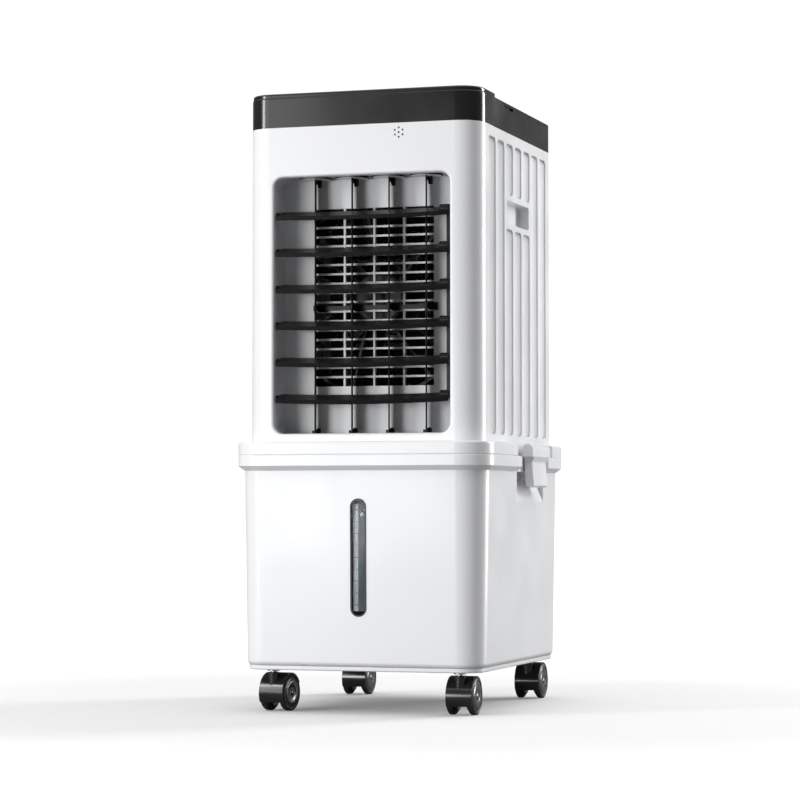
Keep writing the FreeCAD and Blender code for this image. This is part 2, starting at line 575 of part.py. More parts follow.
def housing():
    shell = slab(HALF_X, HALF_Y, BODY_CORNER, DECK_Z, COVER_Z)
    shell = shell.cut(slab(HALF_X - WALL, HALF_Y - WALL, BODY_CORNER - WALL, DECK_Z - 1, COVER_Z + 1))
    spans = flute_spans()
    backs = [flute(*span, BACKING) for span in spans] + [hand_hold(BACKING)]
    shell = joined([shell, mouth(WALL, OUTLET_RETURN)] + backs + [mirrored(s) for s in backs])
    hollows = [flute(*span, 0) for span in spans] + [hand_hold(0)]
    opening = mouth(0, OUTLET_RETURN + 5).fuse(mouth(0, -5))
    rear = front_block(rectangle(-REAR_X, REAR_X, REAR_LOW, REAR_HIGH, REAR_CORNER),
                       REAR - WALL - 1, REAR + 1)
    holes = [rod(SOUNDER_HOLE, (SOUNDER_X, FRONT - 1, SOUNDER_Z), Y_AXIS, WALL + 2)]
    for i in range(6):
        angle = math.radians(60 * i + 90)
        place = (SOUNDER_X + SOUNDER_RING * math.cos(angle), FRONT - 1, SOUNDER_Z + SOUNDER_RING * math.sin(angle))
        holes.append(rod(SOUNDER_HOLE, place, Y_AXIS, WALL + 2))
    gland = rod(GLAND_RADIUS, (GLAND_X, REAR - WALL - 1, GLAND_Z), Y_AXIS, WALL + 2)
    pivots = [rod(PIVOT + RUNNING, (-OPEN_X - WALL - 1, LOUVRE_Y, z), X_AXIS, 2 * (OPEN_X + WALL + 1))
              for z in LOUVRE_Z]
    shell = cut_all(shell, hollows + [mirrored(s) for s in hollows] + [opening, rear, gland] + holes)
    front_edges = edges_where(shell, lambda e: all(abs(v.Y - FRONT) < 1e-3 for v in e.Vertexes)
                              and abs(e.CenterOfMass.x) < OPEN_X + 1
                              and OPEN_LOW - 1 < e.CenterOfMass.z < OPEN_HIGH + 1)
    shell = shell.makeFillet(OUTLET_ROUND, front_edges)
    return cut_all(shell, pivots)


GLAND_RADIUS, GLAND_X, GLAND_Z = 4.5, 85.0, DECK_Z + 11.0


def cord_gland():
    """Cable gland in the rear wall, for the supply cord."""
    flange = rod(7.5, (GLAND_X, REAR, GLAND_Z), Y_AXIS, 2.5)
    flange = flange.makeFillet(1.0, edges_where(flange, lambda e: all(abs(v.Y - REAR - 2.5) < 1e-3
                                                                      for v in e.Vertexes)))
    sleeve = rod(GLAND_RADIUS, (GLAND_X, REAR - 12, GLAND_Z), Y_AXIS, 12.5)
    nose = Part.makeCone(5.6, 4.4, 9.0, V(GLAND_X, REAR + 2, GLAND_Z), Y_AXIS)
    return joined([flange, sleeve, nose]).cut(rod(3.0, (GLAND_X, REAR - 20, GLAND_Z), Y_AXIS, 40))


def sounder():
    can = rod(9.0, (SOUNDER_X, FRONT + WALL, SOUNDER_Z), Y_AXIS, 6.0)
    return can.makeFillet(0.8, edges_where(can, lambda e: all(abs(v.Y - FRONT - WALL - 6) < 1e-3
                                                              for v in e.Vertexes)))


# ---------------------------------------------------------------- air outlet
def outlet_duct():
    """Box behind the mouth: four walls and a back plate with the grille's window."""
    wall = DUCT_WALL
    outer = front_block(rectangle(-DUCT_X - wall, DUCT_X + wall, DUCT_LOW - wall, DUCT_HIGH + wall,
                                  OUTLET_CORNER + WALL + wall), FRONT + WALL, BACK_PLATE + wall)
    inner = front_block(rectangle(-DUCT_X, DUCT_X, DUCT_LOW, DUCT_HIGH, OUTLET_CORNER + WALL),
                        FRONT + WALL - 1, BACK_PLATE)
    window = front_block(rectangle(-GRILLE_X, GRILLE_X, GRILLE_LOW, GRILLE_HIGH, 1.0),
                         BACK_PLATE - 1, BACK_PLATE + wall + 1)
    journals = [rod(PIVOT + RUNNING, (x, VANE_Y, DUCT_LOW - wall - 1), Z_AXIS, DUCT_HIGH - DUCT_LOW + 2 * wall + 2)
                for x in VANE_X]
    return cut_all(outer, [inner, window] + journals)


def outlet_grille():
    wall, half = DUCT_WALL, GRILLE_X
    back = BACK_PLATE + wall
    border = front_block(rectangle(-half - 4, half + 4, GRILLE_LOW - 4, GRILLE_HIGH + 4, 2.0), back, back + 2)
    border = border.cut(front_block(rectangle(-half + 0.1, half - 0.1, GRILLE_LOW + 0.1, GRILLE_HIGH - 0.1, 1.0),
                                    back - 1, back + 3))
    pitch_x = 2 * GRILLE_X / (GRILLE_POSTS + 1)
    pitch_z = (GRILLE_HIGH - GRILLE_LOW) / (GRILLE_BARS + 1)
    bars = [box(-half + pitch_x * (i + 1) - GRILLE_BAR / 2, -half + pitch_x * (i + 1) + GRILLE_BAR / 2,
                BACK_PLATE + 0.1, back + 2, GRILLE_LOW - 1, GRILLE_HIGH + 1) for i in range(GRILLE_POSTS)]
    for i in range(GRILLE_BARS):
        level = GRILLE_LOW + pitch_z * (i + 1)
        bars.append(box(-half - 1, half + 1, BACK_PLATE + 0.4, back + 1.9, level - GRILLE_BAR / 2,
                        level + GRILLE_BAR / 2))
    keep = front_block(rectangle(-half + 0.05, half - 0.05, GRILLE_LOW + 0.05, GRILLE_HIGH - 0.05, 1.0),
                       BACK_PLATE, back).fuse(box(-half - 4, half + 4, back, back + 2, GRILLE_LOW - 4, GRILLE_HIGH + 4))
    return joined([joined(bars).common(keep), border])


def bowed_plate(front, rear, thickness):
    """Flat plate between two arcs, each given by three points."""
    wire = Part.Wire([Part.Arc(*front).toShape(), Part.LineSegment(front[2], rear[0]).toShape(),
                      Part.Arc(*rear).toShape(), Part.LineSegment(rear[2], front[0]).toShape()])
    return Part.Face(wire).extrude(V(0, 0, thickness))


def louvre(z):
    """Bowed blade with end journals, a domed boss and a crank ear for the link, at its resting tilt."""
    end = OPEN_X - 1.2
    y, half = LOUVRE_Y, LOUVRE_THICKNESS / 2
    front = [V(-end, y - LOUVRE_FRONT, z - half), V(0, y - LOUVRE_FRONT - LOUVRE_BOW, z - half),
             V(end, y - LOUVRE_FRONT, z - half)]
    rear = [V(end, y + LOUVRE_REAR, z - half), V(0, y + LOUVRE_REAR - LOUVRE_REAR_BOW, z - half),
            V(-end, y + LOUVRE_REAR, z - half)]
    blade = bowed_plate(front, rear, LOUVRE_THICKNESS)
    down, back = V(0, 0, -LOUVRE_LIP), V(0, LOUVRE_LIP_DEPTH, 0)
    lip = bowed_plate([p + down for p in front], [p + down + back for p in reversed(front)],
                      LOUVRE_LIP + LOUVRE_THICKNESS)
    corners = edges_where(blade, lambda e: abs(e.Length - LOUVRE_THICKNESS) < 1e-3)
    blade = blade.makeFillet(3.0, corners)
    blade = blade.makeFillet(0.8, edges_where(blade, lambda e: at_level(z - half)(e) or at_level(z + half)(e)))
    lip = lip.common(box(-end + 0.8, end - 0.8, y - 50, y + 50, z - 50, z + half - 0.05))
    lip = lip.makeFillet(1.0, edges_where(lip, at_level(z - half - LOUVRE_LIP)))
    slot = box(LINK_X - LINK_WIDTH / 2 - SLIP, LINK_X + LINK_WIDTH / 2 + SLIP, y + CRANK - 4.2, y + 30, z - 9, z + 9)
    pin = rod(CRANK_PIN, (LINK_X - LINK_WIDTH / 2 - 1.6, y + CRANK, z), X_AXIS, LINK_WIDTH + 3.2)
    ears = [rod(2.9, (x, y + CRANK - 0.9, z), X_AXIS, 2.2)
            for x in (LINK_X - LINK_WIDTH / 2 - SLIP - 2.2, LINK_X + LINK_WIDTH / 2 + SLIP)]
    knobs = [rod(3.2, (x, y, z), X_AXIS, 2.4) for x in (-OPEN_X + 0.3, OPEN_X - 2.7)]
    journals = [rod(PIVOT, (-OPEN_X - WALL + 0.3, y, z), X_AXIS, WALL + 2), rod(PIVOT, (OPEN_X - 2, y, z), X_AXIS,
                                                                               WALL + 1.7)]
    boss = rod(4.6, (end - 13.0, y + 1.0, z + 1.6), X_AXIS, 12.6)
    boss = boss.makeFillet(2.2, boss.Edges[:1] + boss.Edges[2:])
    body = joined([blade.cut(slot), boss.cut(slot), lip] + knobs + journals + ears + [pin])
    return turned(body, (0, y, z), X_AXIS, LOUVRE_TILT)


def louvre_link():
    """Upright strip that joins the crank pins of all the louvres."""
    tilt = math.radians(LOUVRE_TILT)
    y, rise = LOUVRE_Y + CRANK * math.cos(tilt), CRANK * math.sin(tilt)
    low, high = LOUVRE_Z[-1] + rise, LOUVRE_Z[0] + rise
    x0 = LINK_X - LINK_WIDTH / 2
    strip = side_block(rectangle(y - 2.4, y + 2.4, low - 2.8, high + 2.8, 2.3), x0, x0 + LINK_WIDTH)
    bores = [rod(CRANK_PIN + RUNNING, (x0 - 1, y, z + rise), X_AXIS, LINK_WIDTH + 2) for z in LOUVRE_Z]
    return cut_all(strip, bores)


VANE_LINK_Z = FAN_Z - 12.0


def vane(x, top_reach):
    """Upright vane with a half disc on top, a peg, journals and a crank pin for the link."""
    half = VANE_THICKNESS / 2
    blade = box(x - half, x + half, VANE_Y - VANE_FRONT, VANE_Y + VANE_REAR, VANE_LOW + 1, VANE_HIGH)
    blade = blade.makeFillet(0.7, edges_where(blade, lambda e: e.Length > VANE_HIGH - VANE_LOW - 2))
    gap = box(x - 5, x + 5, VANE_Y + VANE_CRANK - 3.6, VANE_Y + 30, VANE_LINK_Z - 4.0, VANE_LINK_Z + 4.0)
    pin = rod(1.3, (x, VANE_Y + VANE_CRANK, VANE_LINK_Z - 5), Z_AXIS, 10)
    ears = [rod(1.9, (x, VANE_Y + VANE_CRANK, level), Z_AXIS, 2.0) for level in (VANE_LINK_Z - 6, VANE_LINK_Z + 4)]
    disc = rod(VANE_DISC, (x, VANE_Y, VANE_HIGH - 0.1), Z_AXIS, 2.0)
    disc = disc.cut(box(x - 30, x + 30, VANE_Y + 2.5, VANE_Y + 40, VANE_HIGH - 5, VANE_HIGH + 5))
    peg = rod(2.6, (x + 4.6, VANE_Y, VANE_HIGH - 9.0), Z_AXIS, 9.5)
    peg = peg.makeFillet(2.0, edges_where(peg, at_level(VANE_HIGH - 9.0)))
    knob = Part.makeSphere(3.0, V(x + 3.4, VANE_Y, VANE_LOW + 4.5))
    web = box(x, x + 4.6, VANE_Y - 0.9, VANE_Y + 0.9, VANE_HIGH - 5, VANE_HIGH)
    foot = rod(3.6, (x, VANE_Y, VANE_LOW - 0.6), Z_AXIS, 5.5)
    journals = [rod(PIVOT, (x, VANE_Y, DUCT_LOW - DUCT_WALL + 0.3), Z_AXIS, VANE_LOW - DUCT_LOW + 3),
                rod(PIVOT, (x, VANE_Y, VANE_HIGH), Z_AXIS, DUCT_HIGH + DUCT_WALL - VANE_HIGH + top_reach)]
    body = joined([blade.cut(gap), pin, disc, peg, web, foot, knob] + ears + journals)
    return turned(body, (x, VANE_Y, 0), Z_AXIS, VANE_TURN)


def vane_link():
    """Bar behind the vanes that joins their crank pins."""
    turn = math.radians(VANE_TURN)
    dx, dy = -VANE_CRANK * math.sin(turn), VANE_CRANK * math.cos(turn)
    eyes = [rod(2.7, (x + dx, VANE_Y + dy, VANE_LINK_Z - 3.2), Z_AXIS, 6.4) for x in VANE_X]
    bar = box(VANE_X[0] + dx, VANE_X[-1] + dx + 8, VANE_Y + dy + 0.9, VANE_Y + dy + 2.7, VANE_LINK_Z - 2.2,
              VANE_LINK_Z + 2.2)
    clips = [box(x + dx + 2.0, x + dx + 13.0, VANE_Y + dy + 0.9, VANE_Y + dy + 2.9, VANE_LINK_Z - 4.2,
                 VANE_LINK_Z + 4.2) for x in VANE_X]
    bores = [rod(1.3 + RUNNING, (x + dx, VANE_Y + dy, VANE_LINK_Z - 5), Z_AXIS, 10) for x in VANE_X]
    return cut_all(joined([bar] + eyes + clips), bores)


def swing_motor():
    """Small geared motor on the duct, on the first vane's upper journal."""
    x, z = VANE_X[0], DUCT_HIGH + DUCT_WALL
    can = rod(11.0, (x, VANE_Y + 2, z), Z_AXIS, 13.0)
    can = can.makeFillet(1.2, edges_where(can, at_level(z + 13)))
    ears = box(x - 17, x + 17, VANE_Y - 2, VANE_Y + 6, z, z + 1.4)
    return joined([can, ears]).cut(rod(PIVOT + RUNNING, (x, VANE_Y, z - 1), Z_AXIS, 9))


# ---------------------------------------------------------------- fan
def fan_shroud():
    """Ring and back plate round the fan, with struts that carry the motor."""
    half = HALF_X - FLUTE_DEPTH - BACKING - 1.5
    low, high = DECK_Z, COVER_Z - 16
    plate = box(-half, half, FAN_BACK - 2.5, FAN_BACK, low, high)
    ring = rod(FAN_RADIUS + 6, (0, FAN_FRONT, FAN_Z), Y_AXIS, FAN_RING_DEPTH)
    body = joined([plate, ring])
    body = body.cut(rod(FAN_RADIUS + 3, (0, FAN_FRONT - 1, FAN_Z), Y_AXIS, FAN_RING_DEPTH + 5))
    struts = [box(-4, 4, FAN_BACK - 2.5, FAN_BACK + 4, -FAN_RADIUS - 5, FAN_RADIUS + 5),
              box(-FAN_RADIUS - 5, FAN_RADIUS + 5, FAN_BACK - 2.5, FAN_BACK + 4, -4, 4)]
    struts = [turned(strut, (0, 0, 0), Y_AXIS, 45) for strut in struts]
    for strut in struts:
        strut.translate(V(0, 0, FAN_Z))
    mount = rod(MOTOR_RADIUS + 2, (0, FAN_BACK - 2.5, FAN_Z), Y_AXIS, 6.5)
    body = joined([body, mount] + struts)
    return body.cut(rod(9.0, (0, FAN_BACK - 5, FAN_Z), Y_AXIS, 15))


def fan_impeller():
    front, back = FAN_FRONT + 4, FAN_BACK - 7
    middle = (front + back) / 2
    hub = rod(FAN_HUB, (0, front, FAN_Z), Y_AXIS, back - front)
    hub = hub.makeFillet(5.0, edges_where(hub, lambda e: all(abs(v.Y - front) < 1e-3 for v in e.Vertexes)))
    hub = hub.cut(rod(FAN_HUB - 3, (0, front + 5, FAN_Z), Y_AXIS, 200)).fuse(
        rod(9.0, (0, front + 3, FAN_Z), Y_AXIS, back - front - 3))
    radial = [(FAN_HUB - 4, -13, 2), (FAN_HUB + 36, -22, 30), (FAN_RADIUS - 1, -27, 5), (FAN_RADIUS - 1, 16, 9),
              (FAN_HUB + 34, 17, 30), (FAN_HUB - 4, 13, 2)]
    sheet = Part.Face(outline(radial, lambda p: V(p.x, p.y, -1.1))).extrude(V(0, 0, 2.2))
    sheet.rotate(V(0, 0, 0), X_AXIS, 90)
    sheet.rotate(V(0, 0, 0), X_AXIS, -FAN_PITCH - 32)
    sheet.translate(V(0, middle, FAN_Z))
    blades = [turned(sheet, (0, 0, FAN_Z), Y_AXIS, 360.0 / FAN_BLADES * i) for i in range(FAN_BLADES)]
    room = rod(FAN_RADIUS, (0, front, FAN_Z), Y_AXIS, back - front)
    body = joined([hub] + [blade.common(room) for blade in blades])
    return body.cut(rod(SHAFT_RADIUS, (0, front - 5, FAN_Z), Y_AXIS, 200))


def motor_shaft():
    return rod(SHAFT_RADIUS, (0, FAN_FRONT + 5, FAN_Z), Y_AXIS, FAN_RING_DEPTH + MOTOR_LENGTH - 5)


def fan_motor():
    start = FAN_BACK + 4
    can = rod(MOTOR_RADIUS, (0, start, FAN_Z), Y_AXIS, MOTOR_LENGTH)
    can = can.makeFillet(4.0, edges_where(can, lambda e: all(abs(v.Y - start - MOTOR_LENGTH) < 1e-3
                                                             for v in e.Vertexes)))
    belt = rod(MOTOR_RADIUS + 3, (0, start + 12, FAN_Z), Y_AXIS, 16)
    return joined([can, belt]).cut(rod(SHAFT_RADIUS + RUNNING, (0, start - 5, FAN_Z), Y_AXIS, MOTOR_LENGTH + 10))


# ---------------------------------------------------------------- pad, filter and water
def pad_holder():
    """Frame behind the rear opening that holds the pad, with cross bars at its front."""
    half, low, high = REAR_X + 0.4, REAR_LOW - 0.4, REAR_HIGH + 0.4
    back = REAR - WALL
    outer = box(-half - WALL, half + WALL, HOLDER_FRONT, back, low - WALL, high + WALL)
    room = box(-half, half, HOLDER_FRONT + 2.5, back + 1, low, high)
    outer = outer.common(slab(HALF_X - WALL, HALF_Y - WALL, BODY_CORNER - WALL, DECK_Z, COVER_Z))
    window = box(-half + 8, half - 8, HOLDER_FRONT - 1, HOLDER_FRONT + 3, low + 8, high - 8)
    frame = outer.cut(room).cut(window)
    bars = [box(x - 2, x + 2, HOLDER_FRONT, HOLDER_FRONT + 2.5, low, high) for x in (-35, 35)]
    bars += [box(-half, half, HOLDER_FRONT, HOLDER_FRONT + 2.5, z - 2, z + 2)
             for z in (low + (high - low) / 3, low + 2 * (high - low) / 3)]
    frame = joined([frame] + bars)
    drips = [rod(1.8, (x, HOLDER_FRONT + 20, high - 5), Z_AXIS, 15) for x in range(-96, 97, 24)]
    drains = [box(x - 15, x + 15, HOLDER_FRONT + 8, HOLDER_FRONT + 30, low - WALL - 1, low + 1)
              for x in (-75, -25, 25, 75)]
    return cut_all(frame, drips + drains)


def cooling_pad():
    half = REAR_X - 0.6
    start = HOLDER_FRONT + 2.5
    return box(-half, half, start, start + PAD_THICKNESS, REAR_LOW + 0.6, REAR_HIGH - 0.6)


def filter_frame():
    """Lift-off rear frame: border, slats and a finger pull at the top."""
    half, low, high = REAR_X - 0.6, REAR_LOW + 0.6, REAR_HIGH - 0.6
    start = REAR - FILTER_DEPTH
    plate = front_block(rectangle(-half, half, low, high, REAR_CORNER - 0.6), start, REAR)
    border = FILTER_BORDER
    plate = plate.makeFillet(1.2, edges_where(plate, lambda e: all(abs(v.Y - REAR) < 1e-3 for v in e.Vertexes)))
    plate = plate.cut(front_block(rectangle(-half + border, half - border, low + border, high - border, 4.0),
                                  start - 1, REAR + 1))
    pitch = (high - low - 2 * border) / (FILTER_BARS + 1)
    bars = [box(-half + border - 1, half - border + 1, start + 1.5, REAR - 0.6, low + border + pitch * (i + 1) - 1.5,
                low + border + pitch * (i + 1) + 1.5) for i in range(FILTER_BARS)]
    bars += [box(x - 2, x + 2, start, REAR - 0.9, low + 4, high - 4) for x in (-half / 2, 0, half / 2)]
    pull = front_block(rectangle(-22, 22, high - border + 1.5, high - 1.5, 4.0), REAR - 4, REAR + 1)
    return joined([plate] + bars).cut(pull)


def dust_filter():
    half, start = REAR_X - 4, REAR - FILTER_DEPTH
    return box(-half, half, start - 1.2, start, REAR_LOW + 4, REAR_HIGH - 4)


TRAY_X, TRAY_FRONT, TRAY_BACK = HALF_X - 17.5, LID_Y + 6.5, REAR - 9.5
TRAY_LOW, TRAY_HIGH = COVER_Z - 10.0, COVER_Z + 24.5
SHELF_TOP = TRAY_HIGH - 2.2


def centred(x, y0, y1, z0, z1, radius):
    wire = outline(rectangle(-x, x, y0, y1, radius), flat(z0))
    return Part.Face(wire).extrude(V(0, 0, z1 - z0))


def water_tray():
    """Fill and ice tray under the lid; the rear of its floor drips on to the pad."""
    basin = centred(TRAY_X, TRAY_FRONT, TRAY_BACK, TRAY_LOW, TRAY_HIGH, 12.0)
    flange = centred(TRAY_X + 5, TRAY_FRONT - 3, TRAY_BACK + 4, SHELF_TOP, TRAY_HIGH, 14.0)
    inside = centred(TRAY_X - 2.2, TRAY_FRONT + 2.2, TRAY_BACK - 2.2, TRAY_LOW + 2.2, TRAY_HIGH + 1, 9.8)
    body = joined([basin, flange]).cut(inside)
    weir = box(-TRAY_X + 1, TRAY_X - 1, HINGE_Y - 16, HINGE_Y - 14, TRAY_LOW + 1, TRAY_LOW + 14)
    gaps = [box(x - 4, x + 4, HINGE_Y - 17, HINGE_Y - 13, TRAY_LOW + 2.2, TRAY_LOW + 6) for x in (-80, -40, 0, 40, 80)]
    body = joined([body, weir]).cut(Part.makeCompound(gaps))
    drips = [rod(1.6, (x, y, TRAY_LOW - 1), Z_AXIS, 5) for x in range(-96, 97, 16)
             for y in (HOLDER_FRONT + 14, HOLDER_FRONT + 27)]
    entry = rod(HOSE_RADIUS + SLIP, (-TRAY_X - 5, HOSE_Y, TRAY_LOW + 17), X_AXIS, 10)
    return cut_all(body, drips + [entry])


def top_cover():
    """Glossy top cover: rim, front deck under the panel, rear strip and the lid's seat."""
    shell = slab(HALF_X, HALF_Y, BODY_CORNER, COVER_Z, TOP_Z)
    top_edges = edges_where(shell, at_level(TOP_Z))
    shell = shell.makeFillet(1.4, top_edges)
    shell = shell.cut(slab(HALF_X - WALL, HALF_Y - WALL, BODY_CORNER - WALL, COVER_Z - 1, TOP_Z - 3.3))
    shelf = slab(HALF_X - WALL, HALF_Y - WALL, BODY_CORNER - WALL, SHELF_TOP - 2.6, SHELF_TOP)
    shelf = shelf.cut(box(-HALF_X, HALF_X, FRONT - 1, LID_Y - 1, 0, 1000))
    bulkhead = box(-HALF_X + 2, HALF_X - 2, LID_Y - 2.5, LID_Y, COVER_Z, TOP_Z - 2)
    webs = [box(x - 9.7, x + 9.7, HINGE_Y, HINGE_Y + 8, HINGE_Z - 4, HINGE_Z) for x in (-60, 60)]
    knuckles = [rod(HINGE_ROUND, (x - 9.7, HINGE_Y, HINGE_Z), X_AXIS, 19.4) for x in (-60, 60)]
    body = joined([shell, shelf, bulkhead])
    seat = box(-HALF_X - 1, HALF_X + 1, LID_Y, HINGE_Y + HINGE_ROUND + 0.4, LID_Z - 0.2, TOP_Z + 1)
    well = centred(TRAY_X + 0.5, TRAY_FRONT - 0.5, TRAY_BACK + 0.5, COVER_Z - 1, SHELF_TOP + 0.1, 12.5)
    fill = box(-TRAY_X + 2, TRAY_X - 2, TRAY_FRONT + 2, HINGE_Y - 6, SHELF_TOP, TOP_Z + 1)
    notch = side_block(rectangle(LID_Y + 1, LID_Y + 1 + FINGER_NOTCH, LID_Z - 3.6, LID_Z + 1, 1.6),
                       HALF_X - 2.2, HALF_X + 2)
    barrel_room = box(-103, 103, HINGE_Y - 5, HINGE_Y + HINGE_ROUND + 0.4, HINGE_Z - HINGE_ROUND - 0.5, TOP_Z + 1)
    body = cut_all(body, [seat, well, fill, notch, mirrored(notch), barrel_room])
    body = joined([body] + webs + knuckles)
    return body.cut(rod(HINGE_PIN, (-120, HINGE_Y, HINGE_Z), X_AXIS, 240))


LID_KNUCKLES = [(-100.0, -70.1), (-49.9, 49.9), (70.1, 100.0)]


def fill_lid():
    """Hinged lid over the tray, with knuckles at its rear edge and a locating rib below."""
    plate = box(-HALF_X, HALF_X, LID_Y + 0.3, HINGE_Y, LID_Z, TOP_Z)
    plate = plate.makeFillet(1.4, edges_where(plate, lambda e: at_level(TOP_Z)(e) and abs(e.CenterOfMass.y - HINGE_Y)
                                              > 1))
    reliefs = [box(x - 10.1, x + 10.1, HINGE_Y - HINGE_ROUND - 0.4, HINGE_Y + 5, LID_Z - 5, TOP_Z + 1)
               for x in (-60, 60)]
    plate = cut_all(plate, reliefs)
    knuckles = [rod(HINGE_ROUND, (a, HINGE_Y, HINGE_Z), X_AXIS, b - a) for a, b in LID_KNUCKLES]
    rib_x, rib_front, rib_back = TRAY_X - 3.2, TRAY_FRONT + 3.2, HINGE_Y - 8.5
    rib = centred(rib_x, rib_front, rib_back, LID_Z - 4, LID_Z + 1, 8.0)
    rib = rib.cut(centred(rib_x - 1.8, rib_front + 1.8, rib_back - 1.8, LID_Z - 5, LID_Z + 2, 6.2))
    body = joined([plate, rib] + knuckles)
    return body.cut(rod(HINGE_PIN + RUNNING, (-120, HINGE_Y, HINGE_Z), X_AXIS, 240))


def lid_pin():
    return rod(HINGE_PIN, (-99.5, HINGE_Y, HINGE_Z), X_AXIS, 199)


def control_panel():
    """Raised touch panel across the front of the top cover."""
    front, back, half = FRONT + 0.8, FRONT + PANEL_DEPTH, HALF_X - 0.8
    corner = BODY_CORNER - 0.8
    points = [(-half, front, corner), (half, front, corner), (half, back, 7.0), (-half, back, 7.0)]
    plate = Part.Face(outline(points, flat(TOP_Z))).extrude(V(0, 0, PANEL_RISE))
    return plate.makeFillet(2.2, edges_where(plate, at_level(TOP_Z + PANEL_RISE)))


def control_board():
    """Circuit board under the panel with its relays, capacitor, chip and plugs."""
    z, front = COVER_Z + 12.0, FRONT + 22.0
    board = box(-95, 95, front, front + 58, z, z + 1.6)
    parts = [box(-85, -66, front + 8, front + 24, z + 1, z + 15), box(-60, -41, front + 8, front + 24, z + 1, z + 15),
             rod(6.5, (-24, front + 18, z + 1), Z_AXIS, 14), box(6, 22, front + 22, front + 38, z + 1, z + 3.2),
             box(60, 84, front + 40, front + 50, z + 1, z + 10), box(-84, -60, front + 40, front + 50, z + 1, z + 10)]
    parts += [rod(4.0, (34 + 12 * i, front + 12, z + 1), Z_AXIS, 9) for i in range(3)]
    posts = [rod(3.4, (x, y, z + 1), Z_AXIS, TOP_Z - 3.3 - z - 1) for x in (-90, 90) for y in (front + 4, front + 54)]
    return joined([board] + parts + posts)


def pump():
    """Submersible pump on the tank's floor, with an inlet screen and an outlet spigot."""
    floor = TANK_Z + WALL
    body = box(PUMP_X - 22, PUMP_X + 22, PUMP_Y - 20, PUMP_Y + 20, floor + 6, floor + 52)
    body = body.makeFillet(4.0, body.Edges)
    slots = [box(PUMP_X - 14 + 7 * i, PUMP_X - 11 + 7 * i, PUMP_Y - 21, PUMP_Y - 17, floor + 14, floor + 34)
             for i in range(5)]
    spigot = rod(HOSE_BORE, (PUMP_X, PUMP_Y, floor + 50), Z_AXIS, 16)
    feet = [Part.makeCone(7.0, 4.0, 7.0, V(PUMP_X + dx, PUMP_Y + dy, floor), Z_AXIS) for dx in (-12, 12)
            for dy in (-10, 10)]
    return joined([body.cut(Part.makeCompound(slots)), spigot] + feet)


def pipe_along(points, radii, radius):
    """Round bar along straight runs joined by tangent arcs."""
    nodes = [V(*p) for p in points]
    edges, at = [], nodes[0]
    for i in range(1, len(nodes) - 1):
        back, ahead = nodes[i - 1] - nodes[i], nodes[i + 1] - nodes[i]
        back.normalize()
        ahead.normalize()
        half = back.getAngle(ahead) / 2
        reach = radii[i - 1] / math.tan(half)
        middle = back + ahead
        middle.normalize()
        start, end = nodes[i] + back * reach, nodes[i] + ahead * reach
        crest = nodes[i] + middle * (radii[i - 1] / math.sin(half) - radii[i - 1])
        edges += [Part.LineSegment(at, start).toShape(), Part.Arc(start, crest, end).toShape()]
        at = end
    edges.append(Part.LineSegment(at, nodes[-1]).toShape())
    path = Part.Wire(edges)
    ring = Part.Wire(Part.makeCircle(radius, nodes[0], edges[0].tangentAt(0)))
    return path.makePipeShell([ring], True, False)


def water_hose():
    """Riser hose from the pump to the tray."""
    start = TANK_Z + WALL + 53
    level = TRAY_LOW + 17
    points = [(PUMP_X, PUMP_Y, start), (PUMP_X, PUMP_Y, start + 46), (HOSE_X, HOSE_Y, RIM_Z - 40),
              (HOSE_X, HOSE_Y, level), (-TRAY_X + 2, HOSE_Y, level)]
    radii = [28.0, 28.0, 6.0]
    return pipe_along(points, radii, HOSE_RADIUS).cut(pipe_along(points, radii, HOSE_BORE))


def screws():
    """Base screws and motor screws."""
    made = []
    for x, y in BASE_SCREW_PLACES:
        head = rod(3.2, (x, y, BASE_Z - 1.6), Z_AXIS, 1.6)
        head = head.makeFillet(0.7, edges_where(head, at_level(BASE_Z - 1.6)))
        slots = [box(x - 1.9, x + 1.9, y - 0.35, y + 0.35, BASE_Z - 2, BASE_Z - 0.9),
                 box(x - 0.35, x + 0.35, y - 1.9, y + 1.9, BASE_Z - 2, BASE_Z - 0.9)]
        made.append(joined([head.cut(Part.makeCompound(slots)), rod(1.6, (x, y, BASE_Z), Z_AXIS, 12)]))
    return Part.makeCompound(made)


